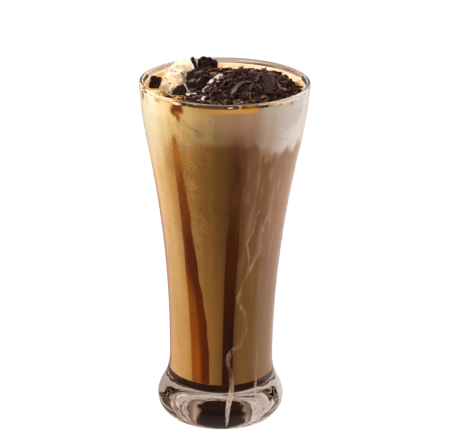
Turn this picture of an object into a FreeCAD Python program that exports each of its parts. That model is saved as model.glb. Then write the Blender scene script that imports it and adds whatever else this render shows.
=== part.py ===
"""Iced mocha in a tall footed glass.

The glass is turned from one profile: a thick solid foot, a narrow waist and a
flare that turns gently inwards before the rounded lip.  Its cavity is a form of
its own, which is cut from the outside form and also shapes the drink, so glass
and drink always fit each other.  From the floor up the drink is a thin pool of
chocolate syrup, milk coffee, and a head of milk foam with a raised edge against
the wall.  On the foam stand a leaning dollop of cream, broken plates of
chocolate and a heap of shavings with curls.

Origin: centre of the resting ring.  +Z is up, -Y is the front.  Millimetres.
"""
import FreeCAD, Part
import math
import os
import Sketcher

Vector = FreeCAD.Vector

doc = FreeCAD.newDocument("iced_mocha")
sheet = doc.addObject("Spreadsheet::Sheet", "sizes")

# ---------------------------------------------------------------- driving sizes
SIZES = [
    # the glass, outside
    ("glass_height", 180.0),
    ("rim_radius", 43.3),
    ("turn_radius", 38.7),        # where the flare stops opening faster
    ("turn_drop", 33.3),          # how far that lies below the rim
    ("waist_radius", 26.8),
    ("waist_height", 31.6),
    ("foot_radius", 33.0),
    ("foot_widest_height", 9.8),
    ("foot_bulge", 11.4),         # radius of the foot's round side
    ("base_edge", 2.5),           # rounding where the foot meets the table
    ("ring_inner_radius", 20.0),  # inside of the resting ring
    ("kick_height", 5.5),         # hollow under the foot
    # the glass, inside
    ("rim_wall", 2.4),
    ("turn_wall", 2.9),
    ("waist_wall", 3.5),
    ("floor_height", 20.4),
    ("floor_corner", 7.0),
    ("rim_rounding", 1.15),
    # the drink
    ("pool_depth", 3.2),
    ("freeboard", 4.4),           # from the flat of the foam up to the rim
    ("edge_rise", 2.2),           # foam drawn up the wall
    ("edge_reach", 5.0),
    ("head_depth", 16.0),
    ("head_tilt", 4.0),           # degrees, the head is deeper at the right
    # what stands on the drink
    ("wall_gap", 0.6),            # between the glass and everything on the foam
    ("headroom_height", 30.0),
    ("dollop_width", 13.5),
    ("dollop_depth", 42.0),
    ("dollop_height", 8.4),
    ("dollop_lean", 12.0),         # how far its crest lies behind its middle
    ("dollop_turn", -14.0),        # degrees
    ("dollop_inset", 14.4),       # from the inside of the rim to its middle
    ("dollop_direction", -112.0),
    ("dollop_sink", 1.0),
    ("heap_width", 47.0),
    ("heap_depth", 64.0),
    ("heap_height", 6.9),
    ("heap_inset", 28.0),
    ("heap_direction", 82.0),
    ("heap_sink", 1.0),
    ("shaving_radius", 3.6),
    ("shaving_wall", 0.9),
    ("shaving_length", 9.0),
    ("shaving_sweep", 200.0),     # degrees
    ("scroll_radius", 3.3),
    ("scroll_pitch", 1.5),
    ("scroll_wall", 0.8),
    ("scroll_length", 25.0),
    ("arc_curl_radius", 14.0),
    ("arc_curl_wall", 1.1),
    ("arc_curl_length", 2.4),
    ("arc_curl_sweep", 118.0),    # degrees
    ("ring_curl_radius", 2.2),
    ("ring_curl_wall", 0.8),
    ("ring_curl_length", 3.2),
    ("ring_curl_sweep", 300.0),   # degrees
    ("plate_edge", 0.4),          # broken edge of a chocolate plate
]

# Broken plates: width, height, thickness, distance inside the rim, compass
# direction from the front, turn about its own height, lean backwards, sink into
# the foam.  Angles in degrees, anticlockwise from above for direction and turn.
PLATES = [
    ("left_plate", (5.8, 7.0, 5.0, 5.2, -92.0, -84.0, 10.0, 1.0)),
    ("front_plate", (6.2, 6.0, 3.4, 15.7, -63.6, -12.0, 36.0, 1.0)),
    ("centre_plate", (12.0, 18.0, 3.0, 27.0, -70.0, 5.0, 60.0, 1.0)),
    ("back_plate", (10.8, 8.2, 1.8, 5.4, -165.4, 185.0, -14.0, 1.4)),
    ("sliver_plate", (3.4, 8.8, 1.6, 5.6, -152.0, 172.0, -14.0, 1.4)),
]
PLATE_SIZES = ("width", "height", "thickness", "inset", "direction", "turn", "lean", "sink")

# Outline of a broken plate as shares of its width and height.
BROKEN_OUTLINE = [(-0.50, 0.0), (0.46, 0.0), (0.50, 0.62), (0.30, 1.0), (-0.12, 0.90), (-0.44, 0.74)]

# Large curls: distance inside the rim, compass direction from the front, height
# over the foam, then the turns that lay the tube down: heading from above, tilt
# of its axis, and roll about its axis.
CURLS = [
    ("scroll", (8.5, 44.0, 3.2, 3.0, -84.0, 0.0)),
    ("arc_curl", (21.5, 36.0, -5.6, 52.0, 70.0, 36.0)),
    ("ring_curl", (10.4, 112.0, 2.4, 12.0, 90.0, -60.0)),
]
CURL_PLACES = ("inset", "direction", "lift", "heading", "tilt", "roll")

for rows, words in ((PLATES, PLATE_SIZES), (CURLS, CURL_PLACES)):
    for piece, values in rows:
        for word, value in zip(words, values):
            SIZES.append((piece + "_" + word, value))

for row, (alias, value) in enumerate(SIZES, start=1):
    sheet.set("A%d" % row, alias)
    sheet.set("B%d" % row, str(value))
    sheet.setAlias("B%d" % row, alias)
doc.recompute()


def size(alias):
    """Present value of one cell of the sheet."""
    return float(getattr(sheet, alias))


def bind(obj, prop, formula):
    """Ties a property to cells of the sheet; '#' stands for the sheet's name."""
    obj.setExpression(prop, formula.replace("#", "sizes."))


# heights that follow the rim, as values and as formulas
TURN_HEIGHT = size("glass_height") - size("turn_drop")
DRINK_LEVEL = size("glass_height") - size("freeboard")
TURN_FORMULA = "#glass_height - #turn_drop"
LEVEL_FORMULA = "#glass_height - #freeboard"


# ------------------------------------------------------------------- sketching
LINE, ARC = "line", "arc"
ORIGIN, H_AXIS, V_AXIS = (-1, 1), -1, -2
START, END, CENTRE = 1, 2, 3


def new_body(name, sketch_name, plane):
    """A body with one sketch on its own origin plane."""
    body = doc.addObject("PartDesign::Body", name)
    sketch = body.newObject("Sketcher::SketchObject", sketch_name)
    support = [f for f in body.Origin.OriginFeatures if f.Role == plane][0]
    sketch.AttachmentSupport = [(support, "")]
    sketch.MapMode = "FlatFace"
    return body, sketch


def arc_between(centre, start, end, clockwise):
    """An arc of a circle round centre; FreeCAD stores every arc anticlockwise."""
    radius = math.hypot(start[0] - centre[0], start[1] - centre[1])
    first, last = (end, start) if clockwise else (start, end)
    angles = [math.atan2(p[1] - centre[1], p[0] - centre[0]) for p in (first, last)]
    if angles[1] < angles[0]:
        angles[1] += 2.0 * math.pi
    circle = Part.Circle(Vector(centre[0], centre[1], 0), Vector(0, 0, 1), radius)
    return Part.ArcOfCircle(circle, angles[0], angles[1])


def closed_outline(sketch, pieces, smooth=()):
    """Adds lines and arcs end to end and joins them; returns where each one starts and ends.

    A piece whose number is in smooth runs into the next one without a corner.
    """
    ends = []
    for kind, data in pieces:
        if kind == LINE:
            start, end = data
            sketch.addGeometry(Part.LineSegment(Vector(*start, 0), Vector(*end, 0)), False)
            ends.append((START, END))
        else:
            centre, start, end, clockwise = data
            sketch.addGeometry(arc_between(centre, start, end, clockwise), False)
            ends.append((END, START) if clockwise else (START, END))
    for index in range(len(pieces)):
        following = (index + 1) % len(pieces)
        joint = "Tangent" if index in smooth else "Coincident"
        meeting = (index, ends[index][1], following, ends[following][0])
        sketch.addConstraint(Sketcher.Constraint(joint, *meeting))
    return ends


def dimension(sketch, kind, geometry, point, value, formula):
    """A horizontal, vertical or radius dimension tied to the sheet."""
    if kind == "Radius":
        index = sketch.addConstraint(Sketcher.Constraint(kind, geometry, value))
    else:
        index = sketch.addConstraint(Sketcher.Constraint(kind, *ORIGIN, geometry, point, value))
    bind(sketch, "Constraints[%d]" % index, formula)


def on_axis(sketch, geometry, point, axis):
    sketch.addConstraint(Sketcher.Constraint("PointOnObject", geometry, point, axis))


def revolve(body, sketch, name):
    turned = body.newObject("PartDesign::Revolution", name)
    turned.Profile = sketch
    turned.ReferenceAxis = (sketch, ["V_Axis"])
    turned.Angle = 360.0
    sketch.Visibility = False
    return turned


# ---------------------------------------------------------- shape of the flare
def flare(waist, turn, rim):
    """Centres of the two arcs of a flaring wall, given as (radius, height) points.

    The lower arc leaves the waist straight upwards and opens until the turn,
    where the upper arc takes over smoothly.  It closes in towards the rim, or on
    a very wide rim goes on opening, which the third value says.
    """
    rise = turn[1] - waist[1]
    spread = turn[0] - waist[0]
    lower_radius = (rise ** 2 + spread ** 2) / (2.0 * spread)
    lower_centre = (waist[0] + lower_radius, waist[1])
    # the upper centre lies on the line from the lower centre through the turn
    along = ((turn[0] - lower_centre[0]) / lower_radius, (turn[1] - lower_centre[1]) / lower_radius)
    chord = (rim[0] - turn[0], rim[1] - turn[1])
    share = chord[0] * along[0] + chord[1] * along[1]
    upper_radius = (chord[0] ** 2 + chord[1] ** 2) / (2.0 * share)
    upper_centre = (turn[0] + along[0] * upper_radius, turn[1] + along[1] * upper_radius)
    return lower_centre, upper_centre, upper_radius < 0.0


# ------------------------------------------------------------ outside of glass
def outside_points():
    """Waist, turn and rim of the outside, as (radius, height) points."""
    return ((size("waist_radius"), size("waist_height")),
            (size("turn_radius"), TURN_HEIGHT),
            (size("rim_radius"), size("glass_height")))


def glass_outside():
    bulge = size("foot_bulge")
    foot_centre = (size("foot_radius") - bulge, size("foot_widest_height"))
    waist, turn, rim = outside_points()
    # base edge: a small arc inside the foot's round side, resting on the table
    edge = size("base_edge")
    reach = bulge - edge
    edge_centre = (foot_centre[0] + math.sqrt(reach ** 2 - (foot_centre[1] - edge) ** 2), edge)
    toward = ((edge_centre[0] - foot_centre[0]) / reach, (edge_centre[1] - foot_centre[1]) / reach)
    edge_end = (foot_centre[0] + toward[0] * bulge, foot_centre[1] + toward[1] * bulge)
    # the hollow of the neck leaves the foot's round side smoothly and stands upright at the waist
    inward = waist[0] - foot_centre[0]
    climb = waist[1] - foot_centre[1]
    hollow = (inward ** 2 + climb ** 2 - bulge ** 2) / (2.0 * (bulge - inward))
    neck_centre = (waist[0] + hollow, waist[1])
    share = bulge / (hollow + bulge)
    foot_end = tuple(f + (n - f) * share for f, n in zip(foot_centre, neck_centre))
    lower_centre, upper_centre, opening = flare(waist, turn, rim)
    # hollow under the foot: a flat arc whose centre is on the axis
    ring = size("ring_inner_radius")
    kick = size("kick_height")
    kick_radius = (ring ** 2 + kick ** 2) / (2.0 * kick)

    body, sketch = new_body("glass_outside", "outside_profile", "XZ_Plane")
    ends = closed_outline(sketch, [
        (ARC, ((0.0, kick - kick_radius), (0.0, kick), (ring, 0.0), True)),
        (LINE, ((ring, 0.0), (edge_centre[0], 0.0))),
        (ARC, (edge_centre, (edge_centre[0], 0.0), edge_end, False)),
        (ARC, (foot_centre, edge_end, foot_end, False)),
        (ARC, (neck_centre, foot_end, waist, True)),
        (ARC, (lower_centre, waist, turn, True)),
        (ARC, (upper_centre, turn, rim, opening)),
        (LINE, (rim, (0.0, rim[1]))),
        (LINE, ((0.0, rim[1]), (0.0, kick))),
    ], smooth=(1, 2, 3, 5))
    under, table, edge_arc, foot, neck, lower, upper, top, axis = range(9)
    on_axis(sketch, under, CENTRE, V_AXIS)
    on_axis(sketch, table, START, H_AXIS)
    on_axis(sketch, table, END, H_AXIS)
    on_axis(sketch, axis, START, V_AXIS)
    on_axis(sketch, axis, END, V_AXIS)
    sketch.addConstraint(Sketcher.Constraint("Horizontal", top))
    dimension(sketch, "DistanceX", table, START, ring, "#ring_inner_radius")
    dimension(sketch, "DistanceY", axis, END, kick, "#kick_height")
    dimension(sketch, "Radius", edge_arc, None, edge, "#base_edge")
    dimension(sketch, "Radius", foot, None, bulge, "#foot_bulge")
    dimension(sketch, "DistanceX", foot, CENTRE, foot_centre[0], "#foot_radius - #foot_bulge")
    dimension(sketch, "DistanceY", foot, CENTRE, foot_centre[1], "#foot_widest_height")
    dimension(sketch, "DistanceY", neck, CENTRE, neck_centre[1], "#waist_height")
    dimension(sketch, "DistanceX", lower, ends[lower][0], waist[0], "#waist_radius")
    dimension(sketch, "DistanceY", lower, ends[lower][0], waist[1], "#waist_height")
    dimension(sketch, "DistanceY", lower, CENTRE, waist[1], "#waist_height")
    dimension(sketch, "DistanceX", upper, ends[upper][0], turn[0], "#turn_radius")
    dimension(sketch, "DistanceY", upper, ends[upper][0], turn[1], TURN_FORMULA)
    dimension(sketch, "DistanceX", upper, ends[upper][1], rim[0], "#rim_radius")
    dimension(sketch, "DistanceY", upper, ends[upper][1], rim[1], "#glass_height")
    revolve(body, sketch, "outside_turned")
    return body


# --------------------------------------------------------------------- cavity
def inside_form(name, gap, gap_formula):
    """The inside of the glass less a gap all round, carried on well past the rim."""
    floor = size("floor_height")
    corner = size("floor_corner")
    waist = (size("waist_radius") - size("waist_wall") - gap, floor + corner)
    turn = (size("turn_radius") - size("turn_wall") - gap, TURN_HEIGHT)
    rim = (size("rim_radius") - size("rim_wall") - gap, size("glass_height"))
    top = size("glass_height") + size("headroom_height")
    lower_centre, upper_centre, opening = flare(waist, turn, rim)

    def across(place):
        return "#%s_radius - #%s_wall%s" % (place, place, gap_formula)

    body, sketch = new_body(name, name + "_profile", "XZ_Plane")
    ends = closed_outline(sketch, [
        (LINE, ((0.0, floor), (waist[0] - corner, floor))),
        (ARC, ((waist[0] - corner, waist[1]), (waist[0] - corner, floor), waist, False)),
        (ARC, (lower_centre, waist, turn, True)),
        (ARC, (upper_centre, turn, rim, opening)),
        (LINE, (rim, (rim[0], top))),
        (LINE, ((rim[0], top), (0.0, top))),
        (LINE, ((0.0, top), (0.0, floor))),
    ], smooth=(0, 2))
    flat, corner_arc, lower, upper, mouth, lid, axis = range(7)
    on_axis(sketch, axis, START, V_AXIS)
    on_axis(sketch, axis, END, V_AXIS)
    for straight in (flat, lid):
        sketch.addConstraint(Sketcher.Constraint("Horizontal", straight))
    sketch.addConstraint(Sketcher.Constraint("Vertical", mouth))
    dimension(sketch, "DistanceY", axis, END, floor, "#floor_height")
    dimension(sketch, "DistanceY", axis, START, top, "#glass_height + #headroom_height")
    dimension(sketch, "Radius", corner_arc, None, corner, "#floor_corner")
    dimension(sketch, "DistanceX", lower, ends[lower][0], waist[0], across("waist"))
    dimension(sketch, "DistanceY", lower, ends[lower][0], waist[1], "#floor_height + #floor_corner")
    dimension(sketch, "DistanceY", lower, CENTRE, waist[1], "#floor_height + #floor_corner")
    dimension(sketch, "DistanceX", upper, ends[upper][0], turn[0], across("turn"))
    dimension(sketch, "DistanceY", upper, ends[upper][0], turn[1], TURN_FORMULA)
    dimension(sketch, "DistanceX", upper, ends[upper][1], rim[0], across("rim"))
    dimension(sketch, "DistanceY", upper, ends[upper][1], rim[1], "#glass_height")
    revolve(body, sketch, name + "_turned")
    return body


def below_surface():
    """Everything below the top of the foam: flat in the middle, drawn up at the wall."""
    level = DRINK_LEVEL
    rise = size("edge_rise")
    reach = size("edge_reach")
    wall = size("rim_radius") - size("rim_wall")
    bend = (reach ** 2 + rise ** 2) / (2.0 * rise)
    outside = size("rim_radius")

    body, sketch = new_body("below_surface", "surface_profile", "XZ_Plane")
    ends = closed_outline(sketch, [
        (LINE, ((0.0, 0.0), (outside, 0.0))),
        (LINE, ((outside, 0.0), (outside, level + rise))),
        (LINE, ((outside, level + rise), (wall, level + rise))),
        (ARC, ((wall - reach, level + bend), (wall, level + rise), (wall - reach, level), True)),
        (LINE, ((wall - reach, level), (0.0, level))),
        (LINE, ((0.0, level), (0.0, 0.0))),
    ], smooth=(3,))
    bottom, side, ledge, raised, flat, axis = range(6)
    on_axis(sketch, bottom, START, V_AXIS)
    on_axis(sketch, bottom, START, H_AXIS)
    on_axis(sketch, bottom, END, H_AXIS)
    on_axis(sketch, axis, START, V_AXIS)
    sketch.addConstraint(Sketcher.Constraint("Vertical", side))
    for straight in (ledge, flat):
        sketch.addConstraint(Sketcher.Constraint("Horizontal", straight))
    dimension(sketch, "DistanceX", side, START, outside, "#rim_radius")
    dimension(sketch, "DistanceX", ledge, END, wall, "#rim_radius - #rim_wall")
    dimension(sketch, "DistanceY", ledge, END, level + rise, LEVEL_FORMULA + " + #edge_rise")
    dimension(sketch, "DistanceX", flat, START, wall - reach, "#rim_radius - #rim_wall - #edge_reach")
    dimension(sketch, "DistanceY", flat, START, level, LEVEL_FORMULA)
    revolve(body, sketch, "surface_turned")
    return body


# ------------------------------------------------------------------- booleans
def common(name, base, tool):
    shared = doc.addObject("Part::Common", name)
    shared.Base = base
    shared.Tool = tool
    return shared


def cut(name, base, tool):
    left = doc.addObject("Part::Cut", name)
    left.Base = base
    left.Tool = tool
    return left


def fuse(name, shapes):
    joined = doc.addObject("Part::MultiFuse", name)
    joined.Shapes = shapes
    return joined


# ----------------------------------------------------------- glass and drink
LIP_SHARE = 0.49    # of the lip's thickness that each of its two roundings may take


def rounded_rim(glass):
    """Rounds the two edges of the flat top into a full lip, as far as a slanting wall allows."""
    waist, turn, rim_edge = outside_points()
    lower_centre, upper_centre, opening = flare(waist, turn, rim_edge)
    upright = abs(rim_edge[0] - upper_centre[0]) / math.dist(rim_edge, upper_centre)
    rounding = min(size("rim_rounding"), LIP_SHARE * size("rim_wall") * upright)
    doc.recompute()
    rim = doc.addObject("Part::Fillet", "glass")
    rim.Base = glass
    top = size("glass_height")
    edges = []
    for number, edge in enumerate(glass.Shape.Edges, start=1):
        box = edge.BoundBox
        if abs(box.ZMin - top) < 1e-4 and abs(box.ZMax - top) < 1e-4:
            edges.append((number, rounding, rounding))
    rim.Edges = edges
    return rim


def block(name, bottom, top_formula, tilt):
    """A square block wider than the glass, from a height up, tilted about its middle."""
    slab = doc.addObject("Part::Box", name)
    bind(slab, "Length", "4 * #rim_radius")
    bind(slab, "Width", "4 * #rim_radius")
    bind(slab, "Height", top_formula)
    half = 2.0 * size("rim_radius")
    lean = FreeCAD.Rotation(Vector(0, 1, 0), tilt)
    slab.Placement = FreeCAD.Placement(Vector(0, 0, bottom), lean) * FreeCAD.Placement(
        Vector(-half, -half, 0), FreeCAD.Rotation())
    return slab


def drink_layers(cavity, surface):
    """Syrup pool, milk coffee and foam head, cut from one filling."""
    filling = common("filling", cavity, surface)
    pool_block = block("pool_block", 0.0, "#floor_height + #pool_depth", 0.0)
    head_block = block("head_block", DRINK_LEVEL - size("head_depth"), "#glass_height", size("head_tilt"))
    pool = common("syrup_pool", filling, pool_block)
    foam = common("milk_foam", filling, head_block)
    above_pool = cut("above_pool", filling, pool_block)
    coffee = cut("milk_coffee", above_pool, head_block)
    return pool, coffee, foam


# --------------------------------------------------------- chocolate plates
def standing_place(name, lift):
    """Where a piece stands: its inset from the rim, its compass direction, and its lift over the foam."""
    radius = size("rim_radius") - size("rim_wall") - size(name + "_inset")
    angle = math.radians(size(name + "_direction"))
    return Vector(radius * math.sin(angle), -radius * math.cos(angle), DRINK_LEVEL + lift)


def broken_plate(name):
    """A plate of chocolate with a broken outline, standing in the foam and leaning back."""
    body, sketch = new_body(name + "_body", name + "_outline", "XZ_Plane")
    width = size(name + "_width")
    height = size(name + "_height")
    corners = [(x * width, y * height) for x, y in BROKEN_OUTLINE]
    sides = [(LINE, (corners[i], corners[(i + 1) % len(corners)])) for i in range(len(corners))]
    closed_outline(sketch, sides)
    for index, (across, up) in enumerate(BROKEN_OUTLINE):
        dimension(sketch, "DistanceX", index, START, across * width, "#%s_width * %s" % (name, across))
        if up == 0.0:
            on_axis(sketch, index, START, H_AXIS)
        else:
            dimension(sketch, "DistanceY", index, START, up * height, "#%s_height * %s" % (name, up))
    pad = body.newObject("PartDesign::Pad", name + "_pad")
    pad.Profile = sketch
    pad.Midplane = True
    bind(pad, "Length", "#%s_thickness" % name)
    doc.recompute()
    edge = body.newObject("PartDesign::Chamfer", name + "_edges")
    edge.Base = (pad, ["Edge%d" % (i + 1) for i in range(len(pad.Shape.Edges))])
    bind(edge, "Size", "#plate_edge")
    place = standing_place(name, -size(name + "_sink"))
    turn = FreeCAD.Rotation(Vector(0, 0, 1), size(name + "_turn"))
    lean = FreeCAD.Rotation(Vector(1, 0, 0), -size(name + "_lean"))
    body.Placement = FreeCAD.Placement(place, turn * lean)
    return body


# ------------------------------------------------------------ chocolate curls
def ring_sector(name, radius, wall, length, sweep):
    """Part of a tube: what a blade shaves off in one pull."""
    outer = doc.addObject("Part::Cylinder", name + "_outer")
    inner = doc.addObject("Part::Cylinder", name + "_inner")
    bind(outer, "Radius", radius)
    bind(inner, "Radius", "%s - %s" % (radius, wall))
    for tube in (outer, inner):
        bind(tube, "Height", length)
    bind(outer, "Angle", sweep)
    return cut(name, outer, inner)


def lay_curl(curl, name):
    """Lays a curl's tube down where the sheet says."""
    heading = FreeCAD.Rotation(Vector(0, 0, 1), size(name + "_heading"))
    tilt = FreeCAD.Rotation(Vector(1, 0, 0), size(name + "_tilt"))
    roll = FreeCAD.Rotation(Vector(0, 0, 1), size(name + "_roll"))
    curl.Placement = FreeCAD.Placement(standing_place(name, size(name + "_lift")), heading * tilt * roll)


def scroll(name, half_turns):
    """A shaving rolled up on itself: half rings of shrinking radius about two centres."""
    halves = []
    for step in range(half_turns):
        radius = "#scroll_radius - %s * #scroll_pitch" % (step / 2.0)
        half = ring_sector("%s_half_%d" % (name, step), radius, "#scroll_wall", "#scroll_length", "180")
        odd = step % 2
        half.Placement = FreeCAD.Placement(Vector(-odd * size("scroll_pitch") / 2.0, 0, 0),
                                           FreeCAD.Rotation(Vector(0, 0, 1), 180.0 * odd))
        halves.append(half)
    return fuse(name, halves)


# ------------------------------------------------------------- soft heaped forms
RING_POINTS = 32
RING_LEVELS = 6
HEAP_CURLS = 11
DOLLOP_FULLNESS = 2.6        # the larger, the fuller the flanks
DOLLOP_BEND = 1.4            # the larger, the later up the dollop its lean sets in
HEAP_FULLNESS = 2.2
HEAP_STEEPNESS = 0.6         # the smaller, the steeper the foot of the heap
GOLDEN_ANGLE = 137.5         # degrees, spreads pieces evenly round a middle

# Swells of an uneven outline: how many there are round it, their share of its
# radius, their phase, and how far the phase turns from the foot to the top.
DOLLOP_FOLDS = [(3, 0.07, 0.6, 0.9), (5, 0.06, 1.1, -1.0), (9, 0.03, 0.0, 2.2)]
HEAP_BUMPS = [(3, 0.05, 0.4, 0.0), (5, 0.045, 1.9, 1.0), (8, 0.03, 0.7, 2.0)]


def wavy_ring(centre, half_width, half_depth, height, waves, level):
    """Points of an uneven outline: an ellipse with swells, at a level from 0 at the foot to 1 at the top."""
    points = []
    for step in range(RING_POINTS):
        angle = 2.0 * math.pi * step / RING_POINTS
        swell = 1.0
        for count, share, phase, drift in waves:
            swell += share * math.sin(count * angle + phase + drift * level)
        points.append(Vector(centre[0] + half_width * swell * math.cos(angle),
                             centre[1] + half_depth * swell * math.sin(angle), height))
    return points


def soft_mound(rings, crest):
    """A closed solid of small facets over rings of points, from a flat foot up to one crest point."""
    faces = [Part.Face(Part.makePolygon(rings[0] + rings[0][:1]))]
    for lower, upper in zip(rings, rings[1:]):
        for i in range(RING_POINTS):
            j = (i + 1) % RING_POINTS
            faces.append(Part.Face(Part.makePolygon([lower[i], lower[j], upper[j], lower[i]])))
            faces.append(Part.Face(Part.makePolygon([lower[i], upper[j], upper[i], lower[i]])))
    for i in range(RING_POINTS):
        j = (i + 1) % RING_POINTS
        faces.append(Part.Face(Part.makePolygon([rings[-1][i], rings[-1][j], crest, rings[-1][i]])))
    solid = Part.Solid(Part.Shell(faces))
    if solid.Volume < 0.0:
        solid.reverse()
    return solid


def dollop_shape():
    """Cream dropped from a spoon: a long soft ridge in three folds, highest towards the back."""
    foot = standing_place("dollop", -size("dollop_sink"))
    rise = size("dollop_height") + size("dollop_sink")
    rings = []
    for step in range(RING_LEVELS):
        share = step / float(RING_LEVELS)
        girth = math.sqrt(1.0 - share ** DOLLOP_FULLNESS)
        centre = (0.0, size("dollop_lean") * share ** DOLLOP_BEND)
        rings.append(wavy_ring(centre, size("dollop_width") / 2.0 * girth,
                               size("dollop_depth") / 2.0 * girth, rise * share, DOLLOP_FOLDS, share))
    ridge = soft_mound(rings, Vector(0.0, size("dollop_lean"), rise))
    ridge.Placement = FreeCAD.Placement(foot, FreeCAD.Rotation(Vector(0, 0, 1), size("dollop_turn")))
    return ridge


def shaving_shape(radius, length):
    """One loose curl of the heap: a ring sector with its opening downwards."""
    foot = Vector(0, 0, -length / 2.0)
    outer = Part.makeCylinder(radius, length, foot, Vector(0, 0, 1), size("shaving_sweep"))
    inner = Part.makeCylinder(radius - size("shaving_wall"), length, foot, Vector(0, 0, 1), 360)
    return outer.cut(inner)


def heap_shape():
    """A mound with an uneven outline, crossed by arched shavings."""
    centre = standing_place("heap", -size("heap_sink"))
    rise = size("heap_height") + size("heap_sink")
    rings = []
    for step in range(RING_LEVELS):
        share = step / float(RING_LEVELS)
        girth = (1.0 - share ** HEAP_FULLNESS) ** HEAP_STEEPNESS
        rings.append(wavy_ring((centre.x, centre.y), size("heap_width") / 2.0 * girth,
                               size("heap_depth") / 2.0 * girth, centre.z + rise * share, HEAP_BUMPS, share))
    mound = soft_mound(rings, Vector(centre.x, centre.y, centre.z + rise))
    shavings = []
    for index in range(HEAP_CURLS):
        reach = 0.18 + 0.62 * math.sqrt((index + 0.5) / HEAP_CURLS)
        angle = math.radians(index * GOLDEN_ANGLE)
        radius = size("shaving_radius") * (0.8 + 0.3 * math.sin(2.3 * index))
        length = size("shaving_length") * (0.9 + 0.3 * math.cos(1.7 * index))
        arch = shaving_shape(radius, length)
        height = centre.z + rise * (1.0 - reach ** 2.4) - 0.75 * radius
        lying = FreeCAD.Rotation(Vector(0, 0, 1), math.degrees(angle) * 1.3 + 20.0)
        laid = lying * FreeCAD.Rotation(Vector(1, 0, 0), 90.0 + 14.0 * math.sin(1.1 * index))
        arch.Placement = FreeCAD.Placement(
            Vector(centre.x + size("heap_width") / 2.0 * reach * math.cos(angle),
                   centre.y + size("heap_depth") / 2.0 * reach * math.sin(angle), height), laid)
        shavings.append(arch)
    return mound.fuse(shavings)


def free_form(name, shape):
    feature = doc.addObject("Part::Feature", name)
    feature.Shape = shape
    return feature


# -------------------------------------------------------------------- assembly
outside = glass_outside()
cavity = inside_form("glass_cavity", 0.0, "")
clear_of_wall = inside_form("clear_of_wall", size("wall_gap"), " - #wall_gap")
surface = below_surface()
glass = rounded_rim(cut("glass_open", outside, cavity))
pool, coffee, foam = drink_layers(cavity, surface)
space = cut("headroom", clear_of_wall, surface)

plates = {}
for plate, values in PLATES:
    plates[plate] = common("chocolate_" + plate, broken_plate(plate), space)

# a rolled shaving that lies over the right of the heap and points to the front
rolled = scroll("rolled_form", 3)
lay_curl(rolled, "scroll")
rolled_curl = common("chocolate_scroll", rolled, space)

# a long flat curl that arches over the front of the heap
arched = ring_sector("arched_form", "#arc_curl_radius", "#arc_curl_wall", "#arc_curl_length",
                     "#arc_curl_sweep")
lay_curl(arched, "arc_curl")
arc_curl = cut("chocolate_arc_curl", common("arc_in_glass", arched, space), rolled_curl)

# a small open loop at the right of the heap
looped = ring_sector("looped_form", "#ring_curl_radius", "#ring_curl_wall", "#ring_curl_length",
                     "#ring_curl_sweep")
lay_curl(looped, "ring_curl")
ring_curl = cut("chocolate_ring_curl", common("ring_in_glass", looped, space), rolled_curl)

firm = list(plates.values()) + [rolled_curl, arc_curl, ring_curl]
firm_pieces = fuse("firm_pieces", firm)
dollop = cut("cream_dollop", common("dollop_in_glass", free_form("dollop_form", dollop_shape()), space),
             firm_pieces)
heap_rest = cut("heap_round_pieces", common("heap_in_glass", free_form("heap_form", heap_shape()), space),
                firm_pieces)
heap = cut("chocolate_shavings", heap_rest, dollop)

NODES = [
    ("glass", glass),
    ("syrup_pool", pool),
    ("milk_coffee", coffee),
    ("milk_foam", foam),
    ("cream_dollop", dollop),
    ("chocolate_shavings", heap),
    ("chocolate_scroll", rolled_curl),
    ("chocolate_arc_curl", arc_curl),
    ("chocolate_ring_curl", ring_curl),
] + [("chocolate_" + plate, plates[plate]) for plate, values in PLATES]

doc.recompute()
for item in doc.Objects:
    if "Invalid" in item.State or "Error" in item.State:
        raise RuntimeError("%s failed to build" % item.Label)

os.makedirs("parts", exist_ok=True)
for node, feature in NODES:
    feature.Label = node
    shape = feature.Shape
    if shape.isNull() or not shape.isValid() or len(shape.Solids) != 1:
        raise RuntimeError("%s is not one valid solid (%d)" % (node, len(shape.Solids)))
    shape.exportStep("parts/%s.step" % node)
    print("%-24s %9.1f mm3" % (node, shape.Volume))
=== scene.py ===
"""Iced mocha in a tall footed glass: the clear glass, the drink and its sauces, and the toppings.

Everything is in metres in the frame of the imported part.  The stage and the grain
of the finishes are written in metres; lengths on the glass, the drink and the
toppings are written in millimetres and multiplied by MM.  A compass direction is
in degrees round the glass from the front (-Y), positive towards the right (+X).
"""
import math
import random

import bpy
from mathutils import Matrix, Vector, noise
from mathutils.bvhtree import BVHTree


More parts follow.
